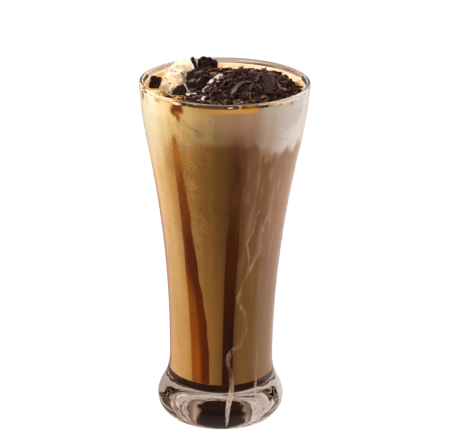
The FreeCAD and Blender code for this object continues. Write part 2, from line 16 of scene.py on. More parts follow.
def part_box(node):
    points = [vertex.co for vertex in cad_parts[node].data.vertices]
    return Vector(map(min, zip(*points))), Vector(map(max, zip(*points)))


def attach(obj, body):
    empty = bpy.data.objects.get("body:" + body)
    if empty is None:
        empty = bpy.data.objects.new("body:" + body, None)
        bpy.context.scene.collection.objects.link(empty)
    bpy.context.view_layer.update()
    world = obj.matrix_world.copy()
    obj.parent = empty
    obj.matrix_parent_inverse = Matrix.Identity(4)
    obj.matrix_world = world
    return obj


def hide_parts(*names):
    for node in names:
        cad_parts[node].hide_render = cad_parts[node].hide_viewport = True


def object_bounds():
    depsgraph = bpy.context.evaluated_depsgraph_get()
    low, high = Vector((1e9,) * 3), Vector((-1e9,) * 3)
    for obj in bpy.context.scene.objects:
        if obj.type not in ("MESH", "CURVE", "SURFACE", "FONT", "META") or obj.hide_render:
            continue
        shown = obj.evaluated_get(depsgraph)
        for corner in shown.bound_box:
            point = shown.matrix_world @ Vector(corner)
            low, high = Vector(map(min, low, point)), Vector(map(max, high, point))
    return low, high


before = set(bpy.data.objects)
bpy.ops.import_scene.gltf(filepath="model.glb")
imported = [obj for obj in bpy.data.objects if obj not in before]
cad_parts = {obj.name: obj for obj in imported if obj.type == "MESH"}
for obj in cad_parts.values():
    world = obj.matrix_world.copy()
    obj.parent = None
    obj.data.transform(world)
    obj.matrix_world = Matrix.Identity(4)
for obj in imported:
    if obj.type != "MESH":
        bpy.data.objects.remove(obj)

MM = 0.001
cad_low, cad_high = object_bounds()


# ------------------------------------------------------------ camera and stage
# The camera: its place, how far it looks down, turns aside and tilts in degrees, and its lens.
EYE = (0.0, -1.080, 0.49964)
LOOK_DOWN, TURN_ASIDE, TILT = 20.1, -0.0566, 0.8376
LENS = 179.25

# Lamps: place, the place each one faces, width, height, power in watts, colour.
LAMPS = {"key_panel": ((-0.75, -0.55, 0.55), (0.0, 0.0, 0.10), 0.35, 0.80, 8.7, (1.0, 0.985, 0.96)),
         "side_strip": ((-0.62, 0.30, 0.25), (0.0, 0.0, 0.09), 0.16, 0.70, 2.0, (1.0, 0.95, 0.92)),
         "fill_panel": ((0.80, -0.35, 0.40), (0.0, 0.0, 0.09), 0.45, 0.60, 8.0, (1.0, 0.975, 0.955)),
         "top_panel": ((0.0, 0.25, 0.95), (0.0, 0.0, 0.15), 0.70, 0.50, 6.0, (1.0, 0.98, 0.96))}
MIRRORED_LAMPS = ("key_panel", "side_strip")

WHITE = (1.0, 1.0, 1.0, 1.0)
AIR_LIGHT = ((1.0, 0.985, 0.965, 1.0), 0.95)    # colour and strength of the light from all round
AIR_MIRRORED = ((1.0, 0.97, 0.95, 1.0), 0.4)    # what of it shows in reflections
FLOOR_GLOW = 0.9              # the rest is the floor's own shading, which holds the shadow


def make_camera():
    """A long lens that looks down at the glass from the front."""
    scene = bpy.context.scene
    scene.view_settings.view_transform = "Standard"
    camera = bpy.data.objects.new("camera", bpy.data.cameras.new("camera"))
    scene.collection.objects.link(camera)
    camera.data.lens = LENS
    camera.data.sensor_width = 36.0
    camera.data.clip_end = 20.0
    turn = Matrix.Rotation(math.radians(TURN_ASIDE), 4, "Z")
    pitch = Matrix.Rotation(math.radians(90.0 - LOOK_DOWN), 4, "X")
    roll = Matrix.Rotation(math.radians(TILT), 4, "Z")
    camera.matrix_world = Matrix.Translation(EYE) @ turn @ pitch @ roll
    scene.camera = camera


def make_lamps():
    """Soft light from the left, the right and above; only the lamps at the left show in reflections."""
    for name, (place, aim, width, height, power, colour) in LAMPS.items():
        lamp = bpy.data.lights.new(name, "AREA")
        lamp.shape = "RECTANGLE"
        lamp.size = width
        lamp.size_y = height
        lamp.energy = power
        lamp.color = colour
        panel = bpy.data.objects.new(name, lamp)
        bpy.context.scene.collection.objects.link(panel)
        panel.location = place
        panel.rotation_euler = (Vector(aim) - Vector(place)).to_track_quat("-Z", "Y").to_euler()
        panel.visible_glossy = name in MIRRORED_LAMPS


def make_air():
    """White to the camera and through glass, soft as light, dim in reflections."""
    world = bpy.data.worlds.new("studio_air")
    bpy.context.scene.world = world
    air = Tree(world, "ShaderNodeOutputWorld")
    white, lit, mirrored = [air.node("ShaderNodeBackground", {}, {"Color": colour, "Strength": strength})
                            for colour, strength in ((WHITE, 1.0), AIR_LIGHT, AIR_MIRRORED)]
    clear = air.ray("Camera").math("MAXIMUM", air.ray("Transmission"))
    air.end(air.either(air.ray("Glossy"), air.either(clear, lit, white), mirrored))


# ------------------------------------------------------------------- modelling
def only(*pieces):
    """Selects these pieces and nothing else; the last one is the active one."""
    bpy.ops.object.select_all(action="DESELECT")
    for piece in pieces:
        piece.select_set(True)
        bpy.context.view_layer.objects.active = piece


def fresh(name):
    """The piece that was just added, under its own name."""
    piece = bpy.context.active_object
    piece.name = name
    piece.data.name = name
    return piece


def added(name, primitive, **settings):
    """Adds a primitive, such as a plane or a grid, as a piece of its own."""
    bpy.ops.object.select_all(action="DESELECT")
    getattr(bpy.ops.mesh, "primitive_%s_add" % primitive)(**settings)
    return fresh(name)


def modified(piece, kind, **settings):
    """Adds one modifier with these settings and applies it."""
    only(piece)
    modifier = piece.modifiers.new(kind.lower(), kind)
    for setting, value in settings.items():
        setattr(modifier, setting, value)
    bpy.ops.object.modifier_apply(modifier=modifier.name)
    return piece


def settled(piece, angle=None):
    """Puts the place into the mesh and shades it smooth, up to an angle in degrees if one is given."""
    only(piece)
    bpy.ops.object.transform_apply(location=True, rotation=True, scale=True)
    if angle is None:
        bpy.ops.object.shade_smooth()
    else:
        bpy.ops.object.shade_smooth_by_angle(angle=math.radians(angle))
    return piece


def moulded(piece, shape):
    """Moves each point of the mesh to where shape puts it."""
    for vertex in piece.data.vertices:
        vertex.co = shape(vertex.co.copy())
    piece.data.update()
    return piece


def closed_up(piece, gap=0.02 * MM):
    """Merges doubled points and turns all faces outwards."""
    only(piece)
    bpy.ops.object.mode_set(mode="EDIT")
    bpy.ops.mesh.select_all(action="SELECT")
    bpy.ops.mesh.remove_doubles(threshold=gap)
    bpy.ops.mesh.normals_make_consistent(inside=False)
    bpy.ops.object.mode_set(mode="OBJECT")
    return piece


def turned(name, outline, steps, angle=None):
    """Spins an outline of (radius, height) points once round the axis of the glass."""
    piece = added(name, "plane", size=MM, location=(0.0, 0.0, 0.0))
    bpy.ops.object.mode_set(mode="EDIT")
    bpy.ops.mesh.select_all(action="SELECT")
    bpy.ops.mesh.merge(type="CENTER")
    place = Vector((outline[0][0], 0.0, outline[0][1]))
    bpy.ops.transform.translate(value=place)
    for radius, height in outline[1:]:
        step = Vector((radius, 0.0, height)) - place
        bpy.ops.mesh.extrude_region_move(TRANSFORM_OT_translate={"value": step})
        place += step
    bpy.ops.mesh.select_all(action="SELECT")
    bpy.ops.mesh.spin(steps=steps, angle=2.0 * math.pi, center=(0.0, 0.0, 0.0), axis=(0.0, 0.0, 1.0))
    bpy.ops.object.mode_set(mode="OBJECT")
    closed_up(piece)
    return settled(piece, angle)


def copy_of_node(name, node):
    """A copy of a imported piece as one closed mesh."""
    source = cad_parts[node]
    piece = bpy.data.objects.new(name, source.data.copy())
    piece.data.name = name
    piece.data.materials.clear()
    bpy.context.scene.collection.objects.link(piece)
    return closed_up(piece, 0.005 * MM)


def soft_copy(name, node, grain, smoothing, ripple, ripple_size, shrink=0.0):
    """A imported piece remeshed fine, smoothed, and given an uneven skin; all lengths in millimetres."""
    piece = copy_of_node(name, node)
    modified(piece, "REMESH", mode="VOXEL", voxel_size=grain * MM)
    modified(piece, "SMOOTH", factor=0.5, iterations=smoothing)
    clouds = bpy.data.textures.new(name + "_skin", "CLOUDS")
    clouds.noise_scale = ripple_size * MM
    clouds.noise_depth = 3
    modified(piece, "DISPLACE", texture=clouds, strength=ripple * MM,
             mid_level=0.5 + shrink / ripple, texture_coords="LOCAL")
    return settled(piece)


# --------------------------------------------------------- reading the glass
def skin(node):
    """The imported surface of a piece, ready to be probed with straight lines."""
    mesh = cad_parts[node].data
    return BVHTree.FromPolygons([vertex.co.copy() for vertex in mesh.vertices],
                                [tuple(polygon.vertices) for polygon in mesh.polygons])


SKINS = {node: skin(node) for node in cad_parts}
CAST = Vector((math.cos(0.01), math.sin(0.01), 0.0))    # the upright plane that sections are read in


def section(node, radius, height, outward, upward):
    """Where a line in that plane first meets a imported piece, as (radius, height)."""
    start = CAST * radius + Vector((0.0, 0.0, height))
    toward = (CAST * outward + Vector((0.0, 0.0, upward))).normalized()
    place = SKINS[node].ray_cast(start, toward)[0]
    if place is None:
        raise ValueError("no %s at radius %g, height %g" % (node, radius, height))
    return math.hypot(place.x, place.y), place.z


def outside_radius(height):
    """The outside of the glass, found from well beyond it."""
    return section("glass", 0.1, height, -1.0, 0.0)[0]


def inside_radius(height):
    """The cavity; near its floor it runs on straight to a tighter corner."""
    if height > CORNER_TOP:
        return section("glass", 0.0, height, 1.0, 0.0)[0]
    straight = section("glass", 0.0, CORNER_TOP, 1.0, 0.0)[0]
    below = min(CORNER, max(0.0, FLOOR + CORNER - height))
    return straight - CORNER + math.sqrt(CORNER ** 2 - below ** 2)


def spread(first, last, count):
    """Evenly spaced values, both ends included."""
    return [first + (last - first) * i / (count - 1) for i in range(count)]


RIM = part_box("glass")[1].z
CORNER = 3.0 * MM             # rounding of the cavity's floor as it shows through the foot
CORNER_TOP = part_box("syrup_pool")[0].z + 7.4 * MM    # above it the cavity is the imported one
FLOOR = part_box("syrup_pool")[0].z - 2.2 * MM
POOL_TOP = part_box("syrup_pool")[1].z
LEVEL = section("milk_foam", 0.0, 0.3, 0.0, -1.0)[1]
FOAM_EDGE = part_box("milk_foam")[1].z
SEAM = 0.5 * (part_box("milk_foam")[0].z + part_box("milk_coffee")[1].z)
REACH = 0.25 * MM             # how far a drink reaches into the wall
LIP = RIM - 2.0 * MM          # where the rounding of the rim starts


def on_wall(direction, height, out=0.0, inside=True):
    """A point on the wall of the glass, in a compass direction; out is measured away from the axis."""
    radius = (inside_radius(height) if inside else outside_radius(height)) + out
    angle = math.radians(direction)
    return Vector((radius * math.sin(angle), -radius * math.cos(angle), height))


def compass(place):
    """The direction in which a place lies."""
    return math.degrees(math.atan2(place.x, -place.y))


def through(points, x):
    """A smooth line through (x, y) points in rising order of x."""
    if x <= points[0][0]:
        return points[0][1]
    for (x0, y0), (x1, y1) in zip(points, points[1:]):
        if x <= x1:
            share = (x - x0) / (x1 - x0)
            return y0 + (y1 - y0) * share * share * (3.0 - 2.0 * share)
    return points[-1][1]


def ease(low, high, x):
    """0 at low, 1 at high, smooth between; low may be the larger."""
    share = min(1.0, max(0.0, (x - low) / (high - low)))
    return share * share * (3.0 - 2.0 * share)


def hump(x, centre, half):
    """1 at the centre, fading to 0 at half to each side."""
    return 1.0 - ease(0.0, half, abs(x - centre))


# ------------------------------------------------------------------- finishes
def paint(red, green, blue):
    """A display colour of 0 to 255 per channel as the linear colour that a shader takes."""
    def linear(value):
        value /= 255.0
        return value / 12.92 if value <= 0.04045 else ((value + 0.055) / 1.055) ** 2.4
    return (linear(red), linear(green), linear(blue), 1.0)


class Wire:
    """One output in a tree of nodes; arithmetic on it adds Math nodes."""

    def __init__(self, tree, socket):
        self.tree = tree
        self.socket = socket

    def math(self, operation, *others):
        return self.tree.node("ShaderNodeMath", {"operation": operation}, dict(enumerate((self,) + others)))

    def __add__(self, other):
        return self.math("ADD", other)

    def __sub__(self, other):
        return self.math("SUBTRACT", other)

    def __rsub__(self, other):
        return self.tree.node("ShaderNodeMath", {"operation": "SUBTRACT"}, {0: other, 1: self})

    def __mul__(self, other):
        return self.math("MULTIPLY", other)

    __radd__, __rmul__ = __add__, __mul__

    def between(self, low, high):
        """0 at low, 1 at high, smooth between."""
        return self.tree.node("ShaderNodeMapRange", {"interpolation_type": "SMOOTHSTEP"},
                              {"Value": self, "From Min": low, "From Max": high})


class Tree:
    """The nodes of a material or of the air, and the output that they end in."""

    def __init__(self, owner, output):
        owner.use_nodes = True
        self.nodes, self.links = owner.node_tree.nodes, owner.node_tree.links
        self.nodes.clear()
        self.output = self.nodes.new(output)

    def put(self, node, socket, value):
        """Links a wire to a socket, or sets the socket's own value."""
        if isinstance(value, Wire):
            self.links.new(value.socket, node.inputs[socket])
        else:
            node.inputs[socket].default_value = value

    def node(self, kind, settings, values, output=0):
        """Adds a node: its settings first, then its sockets; returns one output as a wire."""
        node = self.nodes.new(kind)
        for setting, value in settings.items():
            setattr(node, setting, value)
        for socket, value in values.items():
            self.put(node, socket, value)
        return Wire(self, node.outputs[output])

    def ray(self, kind):
        """1 for rays of a kind, such as Camera, and 0 for all others."""
        return self.node("ShaderNodeLightPath", {}, {}, "Is %s Ray" % kind)

    def glow(self, colour, strength=1.0):
        return self.node("ShaderNodeEmission", {}, {"Color": colour, "Strength": strength})

    def either(self, share, first, second):
        """Two shaders mixed by a share of the second."""
        return self.node("ShaderNodeMixShader", {}, {0: share, 1: first, 2: second})

    def end(self, surface):
        self.put(self.output, "Surface", surface)


class Finish(Tree):
    """A material built round one Principled shader."""

    def __init__(self, name, **values):
        self.material = bpy.data.materials.new(name)
        super().__init__(self.material, "ShaderNodeOutputMaterial")
        self.shader = self.nodes.new("ShaderNodeBsdfPrincipled")
        self.body = Wire(self, self.shader.outputs[0])
        self.end(self.body)
        for socket, value in values.items():
            self.set(socket.replace("_", " "), value)

    def set(self, socket, value):
        self.put(self.shader, socket, value)

    def place(self, scale=(1.0, 1.0, 1.0)):
        """Object coordinates, stretched."""
        where = self.node("ShaderNodeTexCoord", {}, {}, "Object")
        return self.node("ShaderNodeMapping", {}, {"Vector": where, "Scale": scale})

    def along(self, axis):
        """One of the object coordinates: 0 across, 1 away from the front, 2 up."""
        return self.node("ShaderNodeSeparateXYZ", {}, {"Vector": self.place()}, axis)

    def grain(self, size, scale=(1.0, 1.0, 1.0), detail=3.0):
        """Noise whose lumps are about size across, in metres."""
        return self.node("ShaderNodeTexNoise", {}, {
            "Vector": self.place(scale), "Scale": 1.0 / size, "Detail": detail, "Roughness": 0.55}, "Fac")

    def attribute(self, name, output="Fac"):
        """What is stored on the points of the mesh under a name."""
        return self.node("ShaderNodeAttribute", {"attribute_name": name}, {}, output)

    def mix(self, share, first, second, blend="MIX"):
        return self.node("ShaderNodeMix", {"data_type": "RGBA", "blend_type": blend},
                         {0: share, 6: first, 7: second}, 2)

    def shade(self, colour, factors):
        """A colour with each channel multiplied."""
        return self.mix(1.0, colour, tuple(factors) + (1.0,), "MULTIPLY")

    def bump(self, height, depth):
        """Relief of a depth in metres."""
        self.set("Normal", self.node("ShaderNodeBump", {}, {"Height": height, "Distance": depth}, "Normal"))


GLASS_TINT = (0.95, 0.94, 0.93, 1.0)


def clear_glass():
    """Thick clear glass that lets lamps through to what it holds."""
    finish = Finish("clear_glass", Base_Color=GLASS_TINT, IOR=1.5, Transmission_Weight=1.0, Roughness=0.0)
    passing = finish.node("ShaderNodeBsdfTransparent", {}, {"Color": GLASS_TINT})
    finish.end(finish.either(finish.ray("Shadow"), finish.body, passing))
    return finish.material


def drink_finish(name):
    """Coffee and foam: the colours stored on the mesh, drawn out into upright wisps, with painted glints and
    shade of the dew speckled over them.
    """
    finish = Finish(name, Roughness=0.5, IOR=1.36, Specular_IOR_Level=0.15)
    wisps = finish.grain(0.007, (1.0, 1.0, 0.08), 4.0)
    cloud = finish.grain(0.004, (1.0, 1.0, 0.5), 3.0)
    light = (wisps - 0.5) * 0.50 + (cloud - 0.5) * 0.28
    # painted glints and shade of the dew on the glass: fine lighter and darker specks in the colour, scaled
    # by how thickly the glass is dewed
    specks = finish.grain(0.0010, detail=1.0)
    light = light + (specks - 0.40) * finish.attribute("dewy") * 1.2
    base = finish.attribute("tint", "Color")
    darker = finish.mix(light.between(0.0, -0.30), base, finish.shade(base, (0.68, 0.60, 0.52)))
    finish.set("Base Color", finish.mix(light.between(0.0, 0.30), darker,
                                        finish.shade(base, (1.22, 1.24, 1.28))))
    finish.bump(cloud, 0.00006)
    return finish.material


def syrup_finish(name):
    """Chocolate syrup in the drink: the colours stored on the mesh, fading out where it is thin."""
    finish = Finish(name, Roughness=0.4, IOR=1.48, Specular_IOR_Level=0.15)
    smears = finish.grain(0.005, (1.0, 1.0, 0.1), 3.0)
    base = finish.attribute("tint", "Color")
    finish.set("Base Color", finish.mix(smears.between(0.35, 0.7), base,
                                        finish.shade(base, (1.5, 1.35, 1.15))))
    finish.set("Alpha", (finish.attribute("depth") + (smears - 0.5) * 0.25).between(0.05, 0.55))
    finish.bump(smears, 0.0001)
    return finish.material


def chocolate_finish(name, dark, light, roughness):
    """Dark chocolate: mottled, a little dusty, with fine blade marks; each loose piece has its own tone."""
    finish = Finish(name, IOR=1.46, Specular_IOR_Level=0.12)
    mottle = finish.grain(0.0022, detail=4.0)
    marks = finish.grain(0.0006, (1.0, 3.0, 3.0), 3.0)
    tone = finish.attribute("tone")
    dust = (mottle * 0.35 + marks * 0.25 + tone * 0.55).between(0.35, 0.95)
    finish.set("Base Color", finish.mix(dust, dark, light))
    finish.set("Roughness", mottle * 0.3 + (roughness - 0.15))
    finish.bump(mottle * 0.5 + marks * 0.5, 0.00025)
    return finish.material


def cream_finish(name):
    """Whipped cream: the colours stored on the mesh, faintly mottled."""
    finish = Finish(name, Roughness=0.45, IOR=1.4, Specular_IOR_Level=0.3, Subsurface_Weight=0.15,
                    Subsurface_Radius=(0.0025, 0.0016, 0.001), Subsurface_Scale=1.0)
    mottle = finish.grain(0.0022, detail=4.0)
    base = finish.attribute("tint", "Color")
    finish.set("Base Color", finish.mix(mottle.between(0.4, 0.7), base,
                                        finish.shade(base, (0.84, 0.80, 0.74))))
    finish.bump(mottle, 0.0003)
    return finish.material


def milk_run_finish(name):
    """A thin film of milky coffee dried on the outside of the glass."""
    finish = Finish(name, Roughness=0.4, IOR=1.36, Specular_IOR_Level=0.2)
    film = finish.grain(0.002, (1.0, 1.0, 0.3), 3.0)
    low = finish.attribute("low")
    finish.set("Base Color", finish.mix(low, paint(150, 116, 88), paint(160, 140, 130)))
    finish.set("Alpha", film.between(0.3, 0.7) * (low * 0.30 + 0.30) + low * 0.2)
    finish.bump(film, 0.0001)
    return finish.material


def water_finish(name):
    """Beads of condensed water."""
    return Finish(name, Base_Color=WHITE, Roughness=0.02, IOR=1.33, Transmission_Weight=1.0).material


def floor_finish():
    """A pale floor that shows the shadow; toned through the foot, and mirrored dark before the glass."""
    finish = Finish("pale_floor", Base_Color=(0.86, 0.86, 0.86, 1.0), Roughness=0.9)
    across, ahead = finish.along(0), finish.along(1)
    bent = finish.mix(across.between(-0.05, 0.03), paint(176, 158, 144), paint(244, 232, 222))
    bent = finish.mix(ahead.between(0.05, 0.25), bent, paint(255, 255, 255))
    mirrored = finish.mix(across.between(-0.02, 0.06), paint(176, 158, 146), paint(236, 230, 226))
    mirrored = finish.mix(ahead.between(-0.07, -0.01), paint(30, 24, 22), mirrored)
    shown = finish.either(finish.ray("Camera") * FLOOR_GLOW, finish.body, finish.glow(WHITE))
    shown = finish.either(finish.ray("Transmission") * FLOOR_GLOW, shown, finish.glow(bent))
    finish.end(finish.either(finish.ray("Glossy"), shown, finish.glow(mirrored)))
    return finish.material


def tinted(piece, colour):
    """Stores a colour on each point of a mesh; colour is a function of a point."""
    stored = piece.data.color_attributes.new("tint", "FLOAT_COLOR", "POINT")
    values = []
    for vertex in piece.data.vertices:
        values.extend(colour(vertex.co))
    stored.data.foreach_set("color", values)
    return piece


def marked(piece, **masks):
    """Stores masks on the points of a mesh; each is a function of a point."""
    for name, mask in masks.items():
        stored = piece.data.attributes.new(name, "FLOAT", "POINT")
        stored.data.foreach_set("value", [mask(vertex.co) for vertex in piece.data.vertices])
    return piece


def finished(piece, material, slot, *nodes):
    """Gives a piece its material and its place in the part."""
    piece.data.materials.clear()
    piece.data.materials.append(material)
    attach(piece, "root")
    if nodes:
        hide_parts(*nodes)
    return piece


# ---------------------------------------------------------------------- glass
FOOT_EDGE = 28.4 * MM         # where the underside of the foot ends
FOOT_TOP = 27.0               # height up to which the foot is wavy, in millimetres
FOOT_INSIDE = 24.5 * MM       # what lies further in stays even
WAVE_DEPTH = 0.22 * MM


def glass_outline():
    """The whole section of the glass, from the middle of its foot round the lip to its floor."""
    outline = [section("glass", radius, -0.01, 0.0, 1.0) for radius in spread(0.0, FOOT_EDGE, 20)]
    outline[0] = (0.0, outline[0][1])
    heights = spread(outline[-1][1] + 0.5 * MM, 0.20 * RIM, 26) + spread(0.215 * RIM, LIP, 44)
    outline += [(outside_radius(height), height) for height in heights]
    wall = outside_radius(LIP) - inside_radius(LIP)
    middle, beyond = inside_radius(LIP) + wall / 2.0, 5.0 * MM
    for angle in spread(0.0, math.pi, 13)[1:-1]:
        out, up = math.cos(angle), math.sin(angle)
        outline.append(section("glass", middle + beyond * out, RIM - wall / 2.0 + beyond * up, -out, -up))
    inner = spread(LIP, CORNER_TOP, 44) + spread(CORNER_TOP - 1.0 * MM, FLOOR + CORNER, 5)
    outline += [(inside_radius(height), height) for height in inner]
    for angle in spread(0.0, math.pi / 2.0, 9)[1:]:
        outline.append((inside_radius(FLOOR + CORNER) - CORNER * (1.0 - math.cos(angle)),
                        FLOOR + CORNER * (1.0 - math.sin(angle))))
    outline.append((0.0, FLOOR))
    return outline


def pressed(place):
    """The outside of the foot is a little wavy, as pressed glass is."""
    if math.hypot(place.x, place.y) <= FOOT_INSIDE or place.z >= FOOT_TOP * MM:
        return place
    wave = 0.5 + noise.noise(place * 130.0) + 0.35 * noise.noise(place * 330.0)
    foot = ease(FOOT_TOP, FOOT_TOP - 5.0, place.z / MM) * ease(0.0, 1.2, place.z / MM)
    return place - Vector((place.x, place.y, 0.0)).normalized() * (WAVE_DEPTH * foot * max(0.0, wave))


def make_glass():
    tumbler = moulded(turned("tumbler", glass_outline(), steps=224), pressed)
    finished(tumbler, clear_glass(), "clear_glass", "glass")


# ---------------------------------------------------------------------- drink
def blend(first, second, share):
    share = min(1.0, max(0.0, share))
    return tuple(a + (b - a) * share for a, b in zip(first, second))


def shades_through(stops, x):
    """A smooth line of colours through (x, colour, colour...) stops; returns one colour per column."""
    if x <= stops[0][0]:
        return stops[0][1:]
    for first, second in zip(stops, stops[1:]):
        if x <= second[0]:
            share = ease(first[0], second[0], x)
            return tuple(blend(a, b, share) for a, b in zip(first[1:], second[1:]))
    return stops[-1][1:]


def painted(rows):
    """A table of directions with display colours, made ready for shades_through."""
    return [(row[0],) + tuple(paint(*colour) for colour in row[1:]) for row in rows]


# Milk coffee round the glass: direction, colour high up, colour low down. Partly the coffee's own colour,
# partly painted light and shade: lighter towards the lamps at the left, darker at the front middle, and a
# dark purple-brown painted shade near -90 and 90 degrees where the glass's edges show.
COFFEE = painted([
    (-180, (186, 140, 92), (182, 136, 88)),
    (-110, (222, 182, 134), (208, 160, 112)),
    # the dark purple-brown stops from -96 to -87 and from 88 to 96 are painted shade at the edges of the
    # glass
    (-96, (132, 82, 76), (128, 76, 72)),
    (-87, (132, 82, 76), (128, 76, 72)),
    (-80, (222, 172, 126), (206, 154, 106)),
    (-75, (248, 210, 158), (214, 167, 113)),
    (-58, (218, 183, 116), (206, 164, 101)),
    (-45, (194, 142, 72), (198, 150, 81)),
    (-30, (196, 144, 74), (182, 130, 64)),
    (-15, (151, 104, 48), (156, 108, 50)),
    (-3, (119, 79, 37), (129, 86, 40)),
    (6, (105, 67, 34), (114, 75, 36)),
    (15, (110, 71, 38), (122, 83, 44)),
    (26, (134, 97, 65), (130, 92, 50)),
    (45, (144, 103, 71), (132, 93, 52)),
    (60, (160, 113, 75), (134, 93, 51)),
    (75, (170, 126, 92), (146, 103, 59)),
    (82, (168, 126, 102), (148, 106, 76)),
    (88, (132, 84, 76), (124, 78, 66)),
    (96, (132, 84, 76), (124, 78, 66)),
    (130, (152, 110, 78), (142, 102, 66)),
    (180, (186, 140, 92), (182, 136, 88))])

# Foam round the glass: direction, colour at the top, colour at its lower edge. Partly the foam's own colour,
# partly painted light and shade: paler towards the lamps at the left, a darker tan at the front middle as
# painted shade, and a pale grey at the right as a painted reflection.
FOAM = painted([
    (-180, (222, 186, 146), (216, 180, 136)),
    (-110, (238, 212, 172), (232, 202, 162)),
    (-75, (236, 229, 194), (238, 227, 194)),
    (-58, (242, 233, 210), (236, 216, 178)),
    (-45, (241, 220, 166), (222, 200, 141)),
    (-35, (227, 194, 130), (220, 182, 121)),
    (-25, (210, 176, 113), (195, 161, 103)),
    (-15, (189, 153, 100), (175, 142, 91)),
    (-3, (160, 129, 89), (140, 112, 76)),
    (8, (158, 123, 93), (134, 99, 68)),
    (20, (165, 132, 103), (144, 109, 83)),
    (33, (186, 170, 150), (186, 161, 143)),
    (45, (196, 185, 175), (200, 187, 178)),
    (57, (198, 191, 188), (212, 204, 195)),
    (68, (208, 202, 199), (214, 210, 202)),
    (85, (204, 196, 189), (212, 203, 195)),
    (130, (216, 192, 158), (212, 183, 150)),
    (180, (222, 186, 146), (216, 180, 136))])

# The line between coffee and foam, and how far they run into each other: direction, height or reach.
FOAM_LINE = [(-180, 158), (-120, 150), (-80, 141), (-58, 146), (-45, 154), (-30, 156), (-15, 158),
             (8, 158.2), (25, 157.5), (33, 155), (40, 150.5), (48, 149.8), (54, 153.0), (62, 151.2),
             (70, 153.5), (80, 152.5), (110, 154), (150, 160), (180, 158)]
FOAM_BLUR = [(-180, 4.0), (-90, 12.0), (-55, 11.0), (-40, 6.5), (-10, 3.4), (15, 2.4), (60, 2.6), (180, 4.0)]


def milkiness(place):
    """0 in the coffee, 1 in the foam; a soft line that hangs down in wisps."""
    direction = compass(place)
    blur = through(FOAM_BLUR, direction)
    fingers = noise.noise(Vector((place.x * 260.0, place.y * 260.0, place.z * 25.0)))
    wave = 2.6 * fingers + 1.4 * noise.noise(place * 200.0)
    line = through(FOAM_LINE, direction) + wave
    return ease(line - blur, line + blur, place.z / MM)


# The edges of the two runs of syrup: height, direction.
LEFT_STREAK = {"left": [(24.0, -37.0), (38.0, -38.5), (60.0, -40.5), (90.0, -42.6), (130.0, -42.4),
                        (160.0, -41.0)],
               "right": [(24.0, -12.4), (38.0, -12.9), (55.0, -15.6), (71.0, -20.2), (85.0, -25.2),
                         (112.0, -30.4), (143.0, -33.6), (160.0, -36.4)]}
MIDDLE_STREAK = {"left": [(24.0, 0.6), (50.0, 1.0), (80.0, 1.5), (100.0, 2.6), (120.0, 5.4), (156.0, 8.1)],
                 "right": [(24.0, 14.7), (50.0, 15.2), (80.0, 15.9), (100.0, 16.8), (120.0, 15.6),
                           (156.0, 12.8)]}

# Syrup that has clouded the drink at the wall: direction, height, half width in degrees, half height,
# strength.
BLOTS = [(-34.0, 176.2, 7.0, 3.8, 1.0), (-37.5, 174.4, 3.5, 3.6, 0.9), (-31.0, 175.2, 3.2, 2.6, 0.8),
         (-33.2, 171.6, 2.2, 4.0, 0.75), (-73.5, 176.0, 3.4, 2.8, 0.8), (-75.5, 174.2, 2.0, 2.4, 0.6),
         (-52.0, 177.0, 4.0, 1.0, 0.35), (52.0, 176.8, 3.0, 1.6, 0.35)]


def blotted(place):
    """How strongly the syrup blots colour the foam at the wall."""
    direction = compass(place)
    height = place.z / MM
    wobble = 0.35 * noise.noise(place * 320.0)
    amount = 0.0
    for centre, level, half, rise, strength in BLOTS:
        away = math.hypot((direction - centre) / half, (height - level) / rise) + wobble
        amount = max(amount, strength * (1.0 - ease(0.35, 1.0, away)))
    return amount


# Patches on the foam seen from above: x, y, radius in millimetres, colour, strength.
SURFACE_PATCHES = [
    (-33.0, 16.0, 8.0, paint(200, 152, 44), 0.95), (-37.0, 0.0, 9.0, paint(214, 160, 78), 0.9),
    (-31.0, -16.0, 9.0, paint(206, 164, 112), 0.8), (-26.0, -15.0, 13.0, paint(164, 112, 64), 0.95),
    (-4.0, 37.0, 6.0, paint(222, 140, 84), 0.9), (8.0, 38.0, 9.0, paint(192, 158, 142), 0.85),
    (-9.0, 20.0, 6.0, paint(172, 126, 88), 0.9), (35.5, 8.0, 6.0, paint(214, 150, 78), 0.9),
    (38.5, 12.0, 1.6, paint(120, 66, 20), 0.9), (20.0, 35.0, 8.0, paint(204, 176, 146), 0.8),
    (30.0, 20.0, 7.0, paint(240, 218, 206), 0.7)]
SHIFT = Vector((3.0, 1.0, 0.0))    # sets the tan mottling apart from the pink


def surface_colour(place):
    """The foam seen from above: cream yellow, with pink, tan and amber patches."""
    x, y = place.x / MM, place.y / MM
    colour = blend(paint(202, 182, 140), paint(208, 186, 166), ease(-0.15, 0.35, noise.noise(place * 95.0)))
    colour = blend(colour, paint(176, 132, 84), ease(-0.05, 0.35, noise.noise(place * 190.0 + SHIFT)))
    colour = blend(colour, paint(206, 160, 108), 0.5 * ease(35.0, 39.5, math.hypot(x, y)))
    for px, py, radius, patch, strength in SURFACE_PATCHES:
        near = 1.0 - ease(0.2, 1.0, math.hypot(x - px, y - py) / radius)
        colour = blend(colour, patch, strength * near)
    return colour


